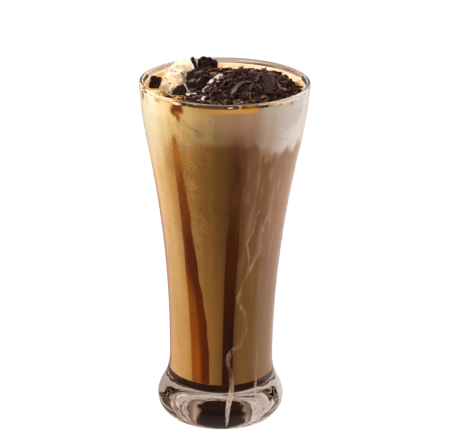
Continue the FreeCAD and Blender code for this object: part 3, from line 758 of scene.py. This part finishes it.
def drink_colour(place):
    """Coffee, foam, and what the syrup has clouded of them; the colours by direction from the tables carry
    painted light and shade.
    """
    direction, height = compass(place), place.z / MM
    if height > LEVEL / MM - 0.5 and math.hypot(place.x, place.y) < inside_radius(LEVEL) - 0.6 * MM:
        return surface_colour(place)
    wander = direction + 3.0 * noise.noise(Vector((place.x * 60.0, place.y * 60.0, place.z * 14.0)))
    coffee_high, coffee_low = shades_through(COFFEE, wander)
    foam_high, foam_low = shades_through(FOAM, wander)
    coffee = blend(coffee_low, coffee_high, ease(60.0, 140.0, height))
    foam = blend(foam_low, foam_high, ease(158.0, 172.0, height))
    threads = noise.noise(Vector((place.x * 420.0, place.y * 420.0, place.z * 9.0)))
    risen = ease(60.0, 120.0, height) * hump(direction, 42.0, 42.0)
    coffee = blend(coffee, paint(190, 150, 122), 0.55 * risen * ease(0.0, 0.45, threads))
    colour = blend(coffee, foam, milkiness(place))
    for streak, clouded, strength in ((LEFT_STREAK, paint(172, 118, 58), 0.75),
                                      (MIDDLE_STREAK, paint(86, 52, 28), 0.8)):
        left, right = (through(streak[side], height) for side in ("left", "right"))
        near = hump(direction, 0.5 * (left + right), 0.5 * (right - left) + 6.0)
        colour = blend(colour, clouded, strength * near * ease(168.0, 148.0, height))
    ring = ease(174.6, 176.2, height) * ease(-24.0, -10.0, direction) * ease(26.0, 20.0, direction)
    colour = blend(colour, paint(206, 150, 62), 0.85 * ring)
    amount = blotted(place)
    colour = blend(colour, paint(176, 104, 26), ease(0.0, 0.5, amount))
    return blend(colour, paint(112, 50, 12), ease(0.45, 1.0, amount))


def dew_density(direction, height):
    """1 where the dew is thickest, left of the front and high up; height in millimetres."""
    return hump(direction, -24.0, 34.0) * hump(height, 134.0, 60.0)


def dewy(place):
    """How thickly the outside of the glass is dewed over a place in the drink; it sets how strongly painted
    dew glints speckle the drink's colour.
    """
    if place.z > FOAM_EDGE - 3.0 * MM:
        return 0.0
    return dew_density(compass(place), place.z / MM)


def inside_outline(bottom, top, count):
    """The wall side of what fills the glass between two heights."""
    return [(inside_radius(height) + REACH, height) for height in spread(bottom, top, count)]


SYRUP = paint(40, 16, 10)
POOL_EDGE = 20.9              # beyond this radius, in millimetres, the pool is plain syrup
EVEN_EDGE = 0.5 * MM          # how far in from its wall side the foam starts to be uneven


def frothy(place):
    """Dark syrup; from below, a ring of milky froth round its edge."""
    radius = math.hypot(place.x, place.y) / MM
    if place.z > FLOOR or radius > POOL_EDGE:
        return SYRUP
    wobble = 4.0 * noise.noise(place * 620.0) + 2.4 * noise.noise(place * 160.0)
    froth = blend(paint(150, 122, 106), paint(214, 188, 172), 0.5 + noise.noise(place * 240.0))
    return blend(SYRUP, froth, ease(15.0, 17.0, radius + 0.28 * place.y / MM + wobble))


def make_pool():
    outline = [(radius, FLOOR - REACH) for radius in spread(0.0, inside_radius(FLOOR + 0.1 * MM), 40)]
    outline += inside_outline(FLOOR + 0.2 * MM, POOL_TOP, 16) + [(0.0, POOL_TOP)]
    pool = tinted(turned("syrup_bottom", outline, steps=160, angle=40.0), frothy)
    marked(pool, depth=lambda place: 1.0)
    finished(pool, syrup_finish("syrup_pool_finish"), "chocolate_syrup", "syrup_pool")


def make_coffee():
    outline = [(0.0, POOL_TOP), (0.5 * inside_radius(POOL_TOP), POOL_TOP)]
    outline += inside_outline(POOL_TOP, SEAM, 150) + [(0.0, SEAM)]
    coffee = tinted(turned("coffee_body", outline, steps=240, angle=40.0), drink_colour)
    marked(coffee, dewy=dewy)
    finished(coffee, drink_finish("milk_coffee_finish"), "milk_coffee", "milk_coffee")


def make_foam():
    wall = inside_radius(FOAM_EDGE) - 0.2 * MM
    outline = [(0.0, SEAM)] + inside_outline(SEAM, FOAM_EDGE, 30)
    outline += [section("milk_foam", radius, 0.3, 0.0, -1.0) for radius in spread(wall, 0.5 * MM, 60)]
    outline.append((0.0, LEVEL))
    foam = turned("foam_head", outline, steps=240, angle=40.0)

    def uneven(place):
        if place.z > LEVEL - 0.1 * MM and math.hypot(place.x, place.y) < wall - EVEN_EDGE:
            place.z += 0.35 * MM * noise.noise(place * 160.0) + 0.15 * MM * noise.noise(place * 500.0)
        return place

    tinted(moulded(foam, uneven), drink_colour)
    marked(foam, dewy=dewy)
    finished(foam, drink_finish("milk_foam_finish"), "milk_foam", "milk_foam")


# ---------------------------------------------------------------- syrup sheets and painted rim shade
def wall_sheet(name, left, right, bottom, top, reach, stations, columns, depth, colour):
    """A thin sheet on the inside of the wall between two edges; left and right give directions by height."""
    sheet = added(name, "grid", x_subdivisions=columns, y_subdivisions=stations, size=1.0)
    thickness = sheet.data.attributes.new("depth", "FLOAT", "POINT")
    tint = sheet.data.color_attributes.new("tint", "FLOAT_COLOR", "POINT")
    for vertex in sheet.data.vertices:
        height = bottom + (vertex.co.y + 0.5) * (top - bottom)
        across = vertex.co.x + 0.5
        west, east = through(left, height), through(right, height)
        vertex.co = on_wall(west + (east - west) * across, height * MM, reach * MM)
        thickness.data[vertex.index].value = depth(across, height)
        tint.data[vertex.index].color = colour(across, height)
    sheet.data.update()
    return settled(sheet)


def soft_edges(across, share):
    """0 at both sides of a streak, 1 from a share of its width inwards."""
    return ease(0.0, share, min(across, 1.0 - across))


AMBER, BROWN, DARK = paint(164, 102, 36), paint(116, 56, 10), paint(92, 36, 8)


def left_depth(across, height):
    return soft_edges(across, 0.15) * (0.5 + 0.5 * ease(152.0, 126.0, height)) * ease(164.0, 156.0, height)


def left_colour(across, height):
    core = blend(AMBER, BROWN, ease(156.0, 118.0, height))
    core = blend(core, DARK, ease(120.0, 100.0, height) * ease(0.0, 0.5, across))
    return blend(core, paint(142, 74, 12), ease(88.0, 66.0, height) * ease(0.62, 0.40, across))


def middle_depth(across, height):
    return soft_edges(across, 0.2) * (0.35 + 0.65 * ease(140.0, 105.0, height)) * ease(160.0, 140.0, height)


def middle_colour(across, height):
    core = blend(paint(90, 56, 29), paint(66, 30, 9), ease(130.0, 100.0, height))
    return blend(core, paint(46, 19, 12), ease(90.0, 45.0, height))


# The two long runs of syrup: edges, top in millimetres, depth and colour over them.
RUN_BOTTOM = 23.8
RUNS = {"syrup_run_left": (LEFT_STREAK, 163.0, left_depth, left_colour),
        "syrup_run_middle": (MIDDLE_STREAK, 158.0, middle_depth, middle_colour)}

# Syrup left on the bare wall over the drink, and three dark films that are painted shade where the rim looks
# dark at its ends and its front: directions of both sides, bottom, top, colour high and low.
SMEARS_AND_RIM_SHADE = {
    "wall_smear_front": (11.0, 24.5, 176.2, 179.7, paint(70, 34, 12), paint(150, 100, 16)),
    "wall_smear_left": (-78.0, -69.0, 176.4, 178.9, paint(60, 36, 18), paint(96, 60, 24)),
    "wall_smear_back": (96.0, 104.0, 176.6, 179.0, paint(110, 86, 70), paint(120, 90, 60)),
    # painted shade: dark films where the ends and the front of the rim look dark through the glass
    "painted_rim_shade_left": (-108.0, -80.0, 176.8, 179.6, paint(40, 30, 30), paint(60, 46, 44)),
    "painted_rim_shade_right": (78.0, 108.0, 176.8, 179.6, paint(40, 30, 30), paint(60, 46, 44)),
    "painted_rim_shade_front": (-34.0, 11.5, 177.2, 179.5, paint(58, 42, 38), paint(84, 60, 48))}


def make_wall_film(name, material):
    """A film with soft edges; the painted rim shade at the front is broken up."""
    west, east, low, high, upper, lower = SMEARS_AND_RIM_SHADE[name]

    def film(across, height):
        fade = ease(low - 0.4, low + 0.4, height) * ease(high + 0.2, high - 0.4, height)
        if name == "painted_rim_shade_front":
            fade *= ease(-0.5, -0.15, noise.noise(Vector((across * 9.0, height * 2.6, 2.0))))
        return soft_edges(across, 0.1) * fade

    def colour(across, height):
        wavy = height + 0.5 * math.sin(9.0 * across)
        return blend(lower, upper, ease(low + 0.3 * (high - low), high - 0.2, wavy))

    sheet = wall_sheet(name, [(0.0, west)], [(0.0, east)], low, high, reach=-0.06,
                       stations=14, columns=30, depth=film, colour=colour)
    finished(sheet, material, "chocolate_syrup")


def make_syrup():
    for name, (streak, top, depth, colour) in RUNS.items():
        run = wall_sheet(name, streak["left"], streak["right"], RUN_BOTTOM, top, reach=0.32,
                         stations=150, columns=24, depth=depth, colour=colour)
        finished(run, syrup_finish(name + "_finish"), "chocolate_syrup")
    film = syrup_finish("wall_smear_and_rim_shade_finish")
    for name in SMEARS_AND_RIM_SHADE:
        make_wall_film(name, film)


# ------------------------------------------------------------------ soft beads
BEAD_SIDES = 10


def bead(name, path, widths, thickness):
    """A soft bead laid along a path of (place, away from the surface) pairs, pointed at both ends."""
    last = len(path) - 1
    line = added(name, "grid", x_subdivisions=last, y_subdivisions=BEAD_SIDES, size=1.0)
    for vertex in line.data.vertices:
        station = round((vertex.co.x + 0.5) * last)
        angle = (vertex.co.y + 0.5) * 2.0 * math.pi
        place, away = path[station]
        ahead = (path[min(last, station + 1)][0] - path[max(0, station - 1)][0]).normalized()
        aside = ahead.cross(away).normalized()
        share = station / last
        taper = min(1.0, 4.0 * math.sqrt(max(0.0, share * (1.0 - share))))
        vertex.co = (place + aside * (0.5 * widths(share) * taper * math.cos(angle))
                     + away * (0.5 * thickness * taper * math.sin(angle)))
    line.data.update()
    closed_up(line, 0.002 * MM)
    return settled(line)


def resampled(points, spacing):
    """A smooth line of evenly spaced places through a few points (Catmull-Rom)."""
    padded = [2 * points[0] - points[1]] + list(points) + [2 * points[-1] - points[-2]]
    line = []
    for a, b, c, d in zip(padded, padded[1:], padded[2:], padded[3:]):
        count = max(2, int((c - b).length / spacing))
        for i in range(count):
            t = i / count
            line.append(0.5 * (2 * b + (c - a) * t + (2 * a - 5 * b + 4 * c - d) * t * t
                               + (3 * b - a - 3 * c + d) * t * t * t))
    line.append(points[-1].copy())
    return line


# Milk run down the outside of the glass: name, width at the top and bottom, then directions and heights.
MILK_RUNS = [
    ("milk_run_long", 1.5, 3.0, [(50, 124), (41, 116), (38, 105), (39, 98), (33, 94), (25, 85), (17, 73),
                                 (20, 68), (26, 64), (26, 54), (19, 46), (12, 44), (7.5, 38), (12, 29),
                                 (11, 21), (7, 14), (6, 3)]),
    ("milk_run_branch", 1.1, 1.1, [(33, 122), (29, 118), (28, 111), (23, 104), (26, 95), (25, 86)]),
    ("milk_run_right", 1.2, 2.2, [(43, 46), (43, 32), (41, 25), (37, 18), (37, 12), (38, 3.5)]),
]


def make_milk_runs():
    film = milk_run_finish("milk_run_finish")
    for name, upper_width, lower_width, turns in MILK_RUNS:
        path = []
        for point in resampled([Vector((direction, height, 0.0)) for direction, height in turns], 1.2):
            place = on_wall(point.x, point.y * MM, 0.05 * MM, inside=False)
            path.append((place, Vector((place.x, place.y, 0.0)).normalized()))

        def width(share, first=upper_width, second=lower_width):
            flow = 0.35 * noise.noise(Vector((share * 14.0, first, 0.0)))
            return (first + (second - first) * share) * (1.0 + flow) * MM

        run = bead(name, path, width, thickness=0.4 * MM)
        marked(run, low=lambda place: ease(26.0, 19.0, place.z / MM))
        finished(run, film, None)


# -------------------------------------------------------------------- toppings
UP = Vector((0.0, 0.0, 1.0))


def top_of(nodes, x, y):
    """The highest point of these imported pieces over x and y, in millimetres, and where it faces."""
    best = None
    for node in nodes:
        place, facing = SKINS[node].ray_cast(Vector((x * MM, y * MM, 0.3)), -UP)[:2]
        if place is not None and (best is None or place.z > best[0].z):
            best = (place, facing if facing.z > 0.0 else -facing)
    return best


TOPPINGS = [node for node in SKINS if node.startswith("chocolate_") or node in ("cream_dollop", "milk_foam")]

# Stains and specks on the cream, and patches of painted light and shade: the olive patch at the lower left
# and the mauve ones are painted shade, the grey-white ones at the back and top painted light. Columns: x, y
# in millimetres, size, colour, strength.
CREAM_STAINS_AND_PAINTED_LIGHT = [
    (-29.4, -6.5, 3.4, paint(132, 116, 70), 0.85), (-27.0, 7.0, 1.5, paint(110, 88, 104), 0.9),
    (-25.4, 6.4, 1.0, paint(96, 70, 84), 0.8), (-21.6, 6.5, 1.0, paint(74, 44, 30), 0.95),
    (-23.0, 3.0, 1.3, paint(168, 132, 92), 0.8), (-21.6, -1.0, 1.8, paint(158, 122, 56), 0.85),
    (-23.8, 14.0, 1.8, paint(150, 146, 84), 0.8), (-21.0, -8.0, 4.5, paint(206, 150, 100), 0.5),
    (-25.5, -3.0, 4.0, paint(222, 186, 140), 0.6), (-30.0, 3.0, 4.0, paint(216, 200, 176), 0.7),
    (-24.0, 22.0, 8.0, paint(180, 190, 174), 0.9), (-19.0, 28.0, 6.0, paint(186, 188, 178), 0.9),
    (-24.5, 11.0, 2.6, paint(176, 158, 118), 0.7), (-29.5, 8.0, 2.4, paint(214, 204, 190), 0.8),
    (-31.5, -11.5, 1.3, paint(70, 44, 30), 0.85), (-27.5, -12.0, 1.2, paint(84, 54, 36), 0.85)]


def cream_colour(place):
    """Warm white with stains of coffee, specks of chocolate, and patches of painted light and shade."""
    x, y = place.x / MM, place.y / MM
    colour = blend(paint(180, 156, 126), paint(200, 184, 166), ease(-0.25, 0.25, noise.noise(place * 180.0)))
    for px, py, half, stain_and_light, strength in CREAM_STAINS_AND_PAINTED_LIGHT:
        wobble = 0.3 * noise.noise(place * 500.0 + Vector((px, py, 0.0)))
        near = 1.0 - ease(0.45, 1.0, math.hypot(x - px, y - py) / half + wobble)
        colour = blend(colour, stain_and_light, strength * near)
    return colour


def make_dollop():
    dollop = soft_copy("cream_spoonful", "cream_dollop", grain=0.42, smoothing=5, ripple=1.8, ripple_size=3.6)
    moulded(dollop, lambda place: place * (1.0 + 0.006 * noise.noise(place * 700.0)))
    tinted(dollop, cream_colour)
    finished(dollop, cream_finish("spooned_cream"), "cream", "cream_dollop")


def make_plates():
    """Broken plates with rough faces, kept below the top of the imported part."""
    dark = chocolate_finish("broken_chocolate", paint(28, 14, 11), paint(96, 62, 50), roughness=0.6)
    for side in ("left", "front", "centre", "back", "sliver"):
        node = "chocolate_%s_plate" % side
        plate = soft_copy("broken_" + side, node, grain=0.28, smoothing=1, ripple=2.0, ripple_size=1.7)
        moulded(plate, lambda place: Vector((place.x, place.y, min(place.z, cad_high.z - 0.05 * MM))))
        marked(plate, tone=lambda place: 0.05 + 0.8 * noise.noise(place * 420.0))
        finished(plate, dark, "dark_chocolate", node)


def make_curls():
    smooth = chocolate_finish("curled_chocolate", paint(38, 21, 17), paint(116, 90, 82), roughness=0.45)
    for name, node, tone in (("long_roll", "chocolate_scroll", 0.0),
                             ("arched_curl", "chocolate_arc_curl", 0.55),
                             ("loop_curl", "chocolate_ring_curl", 0.6)):
        curl = soft_copy(name, node, grain=0.2, smoothing=1, ripple=0.2, ripple_size=2.0)
        marked(curl, tone=lambda place, tone=tone: tone + 0.3 * noise.noise(place * 260.0))
        finished(curl, smooth, "dark_chocolate", node)


def shaved(name, across, along, wall, shape):
    """One loose shaving: a flat grid of the given cells, bent by shape and given a wall in millimetres."""
    piece = moulded(added(name, "grid", x_subdivisions=across, y_subdivisions=along, size=1.0), shape)
    piece.data.attributes.new("tone", "FLOAT", "POINT")
    modified(piece, "SOLIDIFY", thickness=wall * MM, offset=0.0)
    return settled(piece, 40.0)


def strand(name, length, width, sag, sway):
    """A thin thread of chocolate, arched up by sag and swung aside by sway."""
    def shape(place):
        share = 2.0 * place.x
        girth = width * math.sqrt(max(0.12, 1.0 - share ** 4))
        return Vector((length * place.x * (1.0 - 0.25 * share * share),
                       place.y * girth + sway * math.sin(2.2 * share),
                       sag * (1.0 - share * share) + 0.12 * math.sin(7.0 * share))) * MM
    return shaved(name, 9, 1, 0.28, shape)


def flake(name, length, width, curl, seed):
    """A flat chip with a ragged outline, slightly curled along its length."""
    def shape(place):
        ragged = 1.0 + 0.35 * noise.noise(Vector((place.x * 3.0, place.y * 3.0, seed)))
        x, y = place.x * length * ragged, place.y * width * (ragged - 0.5 * place.x)
        return Vector((x, y, curl * (0.25 - place.x * place.x) * 4.0)) * MM
    return shaved(name, 5, 3, 0.35, shape)


def quill(name, radius, length, turns):
    """A small shaving rolled up on itself."""
    def shape(place):
        angle = (place.y + 0.5) * turns * 2.0 * math.pi
        reach = radius * (1.0 - 0.42 * (place.y + 0.5))
        return Vector((length * place.x, reach * math.cos(angle), reach * math.sin(angle))) * MM
    return shaved(name, 2, 12, 0.26, shape)


def crumb(name, width, seed):
    """A lump with few faces."""
    def shape(place):
        return place * (1.0 + 0.5 * noise.noise(place * 900.0 + Vector((seed, 0.0, 0.0))))
    piece = moulded(added(name, "ico_sphere", subdivisions=1, radius=0.5 * width * MM), shape)
    piece.data.attributes.new("tone", "FLOAT", "POINT")
    return settled(piece, 30.0)


def strewn(name, kinds, places, material, slot):
    """Copies of a few modelled kinds, one at each (matrix, tone) place, joined into one piece."""
    copies = []
    for index, (matrix, tone) in enumerate(places):
        kind = kinds[index % len(kinds)]
        copy = kind.copy()
        copy.data = kind.data.copy()
        copy.data.transform(matrix)
        bpy.context.scene.collection.objects.link(copy)
        if "tone" in copy.data.attributes:
            copy.data.attributes["tone"].data.foreach_set("value", [tone] * len(copy.data.vertices))
        copies.append(copy)
    only(*copies)
    bpy.ops.object.join()
    piece = fresh(name)
    for kind in kinds:
        bpy.data.objects.remove(kind)
    return finished(piece, material, slot)


def laid(place, facing, heading, pitch, roll):
    """A matrix that lays a piece along a heading on a slope; pitch and roll tip it out of the slope."""
    ahead = Vector((math.cos(heading), math.sin(heading), 0.0))
    aside = facing.cross(ahead).normalized()
    ahead = aside.cross(facing).normalized()
    turned_to_slope = Matrix((ahead, aside, facing)).transposed().to_4x4()
    tipped = Matrix.Rotation(pitch, 4, "Y") @ Matrix.Rotation(roll, 4, "X")
    return Matrix.Translation(place) @ turned_to_slope @ tipped


def inside_glass(matrix, half):
    """Whether a piece of this half length stays clear of the wall and under the tallest topping."""
    for end in (-half, half):
        tip = matrix @ Vector((end * MM, 0.0, 0.0))
        if math.hypot(tip.x, tip.y) > inside_radius(min(tip.z, RIM - 1.0 * MM)) - 0.7 * MM:
            return False
        if tip.z > cad_high.z - 0.8 * MM:
            return False
    return True


HEAP_ACROSS, HEAP_ALONG = (-14.0, 38.0), (-34.0, 40.0)    # what the heap covers, in millimetres
CRUMB_LIMIT = 38.5            # how far from the axis crumbs lie, in millimetres

# Where crumbs lie off the heap: x from and to, y from and to, in millimetres, how many.
LOOSE_CRUMBS = [(28.0, 39.0, -12.0, 8.0, 36), (-14.0, 2.0, 8.0, 33.0, 60), (14.0, 34.0, 20.0, 34.0, 14),
                (-32.0, -18.0, -16.0, 4.0, 7), (-16.0, 6.0, -34.0, -22.0, 50),
                (-20.0, -5.0, -26.0, -8.0, 50), (-34.0, -17.0, -24.0, -9.0, 100),
                (-16.0, -2.0, -9.0, 9.0, 40)]

# Where shavings lie off the heap: x from and to, y from and to, in millimetres, heading in radians,
# how many.
STRAY_SHAVINGS = [(-13.0, 4.0, 8.0, 33.0, 0.35, 56), (28.0, 37.0, -12.0, 2.0, 0.5, 12),
                  (-16.0, 12.0, -35.0, -24.0, 0.1, 30), (-19.0, -3.0, -28.0, -6.0, 1.0, 60),
                  (-16.0, -2.0, -9.0, 9.0, 0.8, 46)]


def some_tone(chance, middle, scatter):
    """How dusty one shaving is, 0 to 1."""
    return min(1.0, max(0.0, chance.gauss(middle, scatter)))


def combed(chance, x):
    """On the left of the heap shavings lie combed away to the right; further right they lie anyhow."""
    return math.radians(62.0) + chance.gauss(0.0, 0.16 + 1.0 * (1.0 - ease(22.0, 4.0, x)))


def anyhow(chance, x):
    return chance.uniform(0.0, 2.0 * math.pi)


def heap_places(chance, count, half, sunk, pitch, roll, tones, heading):
    """Random places over the heap; half length and depth in millimetres, tip and roll in radians."""
    places = []
    while len(places) < count:
        x, y = chance.uniform(*HEAP_ACROSS), chance.uniform(*HEAP_ALONG)
        top = top_of(["chocolate_shavings"], x, y)
        if top is None:
            continue
        place, facing = top
        facing = (facing + 1.2 * UP).normalized()
        place = place - facing * (sunk + chance.uniform(0.0, 0.8)) * MM
        matrix = laid(place, facing, heading(chance, x), chance.gauss(0.0, pitch), chance.gauss(0.0, roll))
        if inside_glass(matrix, half):
            places.append((matrix, some_tone(chance, *tones)))
    return places


def crumb_places(chance):
    """Random places for crumbs that lie loose off the heap."""
    places = []
    for x0, x1, y0, y1, count in LOOSE_CRUMBS:
        for _ in range(count):
            x, y = chance.uniform(x0, x1), chance.uniform(y0, y1)
            top = top_of(TOPPINGS, x, y)
            if top is None or math.hypot(x, y) > CRUMB_LIMIT:
                continue
            place, facing = top
            matrix = laid(place + facing * 0.1 * MM, facing, chance.uniform(0.0, 6.28), 0.0,
                          chance.uniform(0.0, 6.28))
            places.append((matrix, chance.uniform(0.0, 0.4)))
    return places


def stray_places(chance):
    """Random places for strands and flakes off the heap, behind the plates and against the front wall."""
    places = []
    for x0, x1, y0, y1, heading, count in STRAY_SHAVINGS:
        wanted = len(places) + count
        while len(places) < wanted:
            x, y = chance.uniform(x0, x1), chance.uniform(y0, y1)
            top = top_of(TOPPINGS, x, y)
            if top is None:
                continue
            place, facing = top
            facing = (facing + 2.0 * UP).normalized()
            matrix = laid(place + facing * 0.3 * MM, facing, heading + chance.gauss(0.0, 0.6),
                          chance.gauss(0.0, 0.08), chance.uniform(-0.8, 0.8))
            if inside_glass(matrix, 3.6):
                places.append((matrix, some_tone(chance, 0.12, 0.28)))
    return places


def make_heap():
    """Shavings over a smaller dark core, sorted by shape, and loose ones round it."""
    loose = chocolate_finish("shaved_chocolate", paint(32, 17, 13), paint(150, 108, 92), roughness=0.45)
    core = soft_copy("shavings_core", "chocolate_shavings", grain=0.6, smoothing=3, ripple=1.5,
                     ripple_size=2.2, shrink=0.9)
    marked(core, tone=lambda place: 0.0)
    under = chocolate_finish("heap_core_chocolate", paint(18, 9, 7), paint(56, 34, 28), roughness=0.6)
    finished(core, under, "dark_chocolate", "chocolate_shavings")

    chance = random.Random(7)
    # strands by length, width, sag and sway, flakes by length, width, curl and seed, quills by radius,
    # length and turns, crumbs by width and seed
    strands = [strand("strand_a", 7.5, 0.36, 0.4, 0.2), strand("strand_b", 10.0, 0.30, 0.6, -0.5),
               strand("strand_c", 4.5, 0.50, 0.2, 0.3), strand("strand_d", 8.0, 0.45, 0.9, 0.1)]
    places = heap_places(chance, count=520, half=4.2, sunk=0.2, pitch=0.16, roll=0.7, tones=(0.28, 0.30),
                         heading=combed)
    strewn("heap_strands", strands, places, loose, "dark_chocolate")

    flakes = [flake("flake_a", 3.2, 2.2, 0.3, 1.0), flake("flake_b", 4.2, 1.6, 0.5, 5.0),
              flake("flake_c", 2.2, 1.7, 0.2, 9.0)]
    places = heap_places(chance, count=420, half=2.0, sunk=0.3, pitch=0.4, roll=0.6, tones=(0.10, 0.2),
                         heading=anyhow)
    strewn("heap_flakes", flakes, places, loose, "dark_chocolate")

    quills = [quill("quill_a", 0.9, 6.0, 1.3), quill("quill_b", 1.2, 4.6, 0.9),
              quill("quill_c", 0.7, 7.5, 1.6)]
    places = heap_places(chance, count=60, half=3.2, sunk=0.0, pitch=0.2, roll=1.5, tones=(0.2, 0.25),
                         heading=combed)
    strewn("heap_quills", quills, places, loose, "dark_chocolate")

    crumbs = [crumb("crumb_a", 0.9, 1.0), crumb("crumb_b", 0.6, 4.0), crumb("crumb_c", 1.3, 8.0)]
    places = heap_places(chance, count=420, half=0.6, sunk=-0.1, pitch=1.0, roll=1.0, tones=(0.2, 0.2),
                         heading=anyhow) + crumb_places(chance)
    strewn("loose_crumbs", crumbs, places, loose, "dark_chocolate")

    places = stray_places(chance)
    strays = [strand("stray_a", 6.5, 0.7, 0.7, 0.3), flake("stray_b", 4.2, 2.4, 0.4, 3.0),
              strand("stray_c", 7.5, 0.9, 1.2, -0.5)]
    strewn("stray_shavings", strays, places, loose, "dark_chocolate")


# Threads of cream over the left of the heap: name, thickness, width, then x, y, all in millimetres.
CREAM_THREADS = [
    ("cream_thread_long", 1.3, 2.9, [(-11.0, -9.5), (-9.0, -5.5), (-6.5, -1.5), (-4.0, 3.0), (-1.5, 7.5)]),
    ("cream_thread_arch", 0.9, 2.0, [(-4.0, -7.5), (-3.4, -3.0), (-3.0, 0.5), (-2.4, 5.0)]),
    ("cream_thread_low", 0.9, 2.0, [(-11.5, -25.5), (-10.8, -21.0), (-9.8, -16.5)]),
    ("cream_thread_side", 0.8, 1.2, [(-15.0, -23.0), (-12.5, -23.5), (-11.0, -21.5)]),
    ("cream_bit_left", 0.9, 1.8, [(-20.6, -7.6), (-18.6, -8.2), (-17.2, -9.0)]),
    ("cream_bit_low", 0.9, 1.3, [(-16.0, -17.5), (-13.8, -18.5), (-12.0, -18.2)]),
    ("cream_bit_front", 1.2, 3.2, [(-19.0, -14.5), (-16.5, -13.0), (-14.0, -12.5)])]


def make_cream_threads():
    threads = cream_finish("thread_cream")
    for name, thickness, width, corners in CREAM_THREADS:
        path = []
        for point in resampled([Vector((x, y, 0.0)) for x, y in corners], 0.45):
            place = top_of(TOPPINGS, point.x, point.y)[0]
            path.append(place + UP * ((0.35 * thickness + 0.5) * MM))
        smooth = []
        for index, place in enumerate(path):
            near = path[max(0, index - 2):index + 3]
            level = sum(step.z for step in near) / len(near)
            smooth.append((Vector((place.x, place.y, max(level, place.z))), UP))

        def girth(share, width=width, name=name):
            return width * (1.0 + 0.45 * noise.noise(Vector((share * 9.0, len(name), 0.0)))) * MM

        thread = bead(name, smooth, girth, thickness * MM)
        tinted(thread, lambda place: blend(paint(140, 120, 110), paint(192, 178, 170),
                                           0.5 + 1.4 * noise.noise(place * 500.0)))
        finished(thread, threads, "cream")


# ---------------------------------------------------------------- condensation
DEW_BEADS = 1500
DEW_BELOW, DEW_ABOVE = 70.0, 172.0    # heights between which dew sits, in millimetres
THIN_DEW = 0.03               # how thickly it sits where the density is 0


def dew_bead(name, width, height):
    """A flat bead of water with few faces; width and height in millimetres."""
    piece = added(name, "uv_sphere", segments=10, ring_count=6, radius=0.5)
    size = Vector((height, width, width)) * MM
    return settled(moulded(piece, lambda place: place * size))


def make_dew():
    """Fine beads of water on the outside, thickest left of the front."""
    kinds = [dew_bead("dew_a", 0.7, 0.3), dew_bead("dew_b", 0.5, 0.25), dew_bead("dew_c", 0.9, 0.3)]
    chance = random.Random(3)
    places = []
    while len(places) < DEW_BEADS:
        direction, height = chance.uniform(-180.0, 180.0), chance.uniform(DEW_BELOW, DEW_ABOVE)
        if chance.random() > THIN_DEW + (1.0 - THIN_DEW) * dew_density(direction, height):
            continue
        place = on_wall(direction, height * MM, 0.04 * MM, inside=False)
        turn = Matrix.Rotation(math.radians(direction - 90.0), 4, "Z")
        size = chance.uniform(0.7, 1.25)
        places.append((Matrix.Translation(place) @ turn @ Matrix.Scale(size, 4), 0.0))
    strewn("dew", kinds, places, water_finish("dew_water"), None)


# ----------------------------------------------------------------------- stage
def card(name, finish, place, turn, width, height, hidden=()):
    """A card on the stage, out of view, that only mirrored or bent light meets."""
    piece = added(name, "plane", size=1.0, location=place,
                  rotation=(math.radians(90.0), 0.0, math.radians(turn)))
    piece.scale = (width, height, 1.0)
    only(piece)
    bpy.ops.object.transform_apply(location=False, rotation=False, scale=True)
    piece.data.materials.append(finish.material)
    for kind in ("camera", "shadow", "diffuse", "volume_scatter") + hidden:
        setattr(piece, "visible_" + kind, False)


def make_cards():
    """Cards that only reflections and light bent by the glass meet: dark round the stage, warm behind."""
    dark = Finish("dark_card")
    dark.end(dark.glow(paint(96, 84, 84), 0.4))
    for name, side in (("left_card", -0.34), ("right_card", 0.34)):
        card(name, dark, (side, -0.05, 0.3), turn=90.0, width=0.7, height=0.6)
    card("front_card", dark, (0.0, -1.7, 0.75), turn=0.0, width=3.0, height=1.5)

    warm = Finish("warm_card")
    mottle = warm.grain(0.03)
    tone = warm.mix(warm.along(0).between(-0.06, 0.06), paint(214, 202, 194), paint(186, 156, 138))
    tone = warm.mix(mottle.between(0.52, 0.60), tone, paint(112, 90, 84))
    tone = warm.mix(mottle.between(0.44, 0.36), tone, paint(246, 226, 200))
    warm.end(warm.glow(tone))
    card("back_card", warm, (0.0, 0.22, 0.25), turn=0.0, width=0.6, height=0.50, hidden=("glossy",))


def make_floor():
    floor = added("floor", "plane", size=6.0, location=(0.0, 0.0, 0.0))
    floor.data.materials.append(floor_finish())


# -------------------------------------------------------------------- assembly
make_camera()
make_lamps()
make_air()
make_glass()
make_pool()
make_coffee()
make_foam()
make_syrup()
make_milk_runs()
make_dollop()
make_plates()
make_curls()
make_heap()
make_cream_threads()
make_dew()
make_cards()
make_floor()
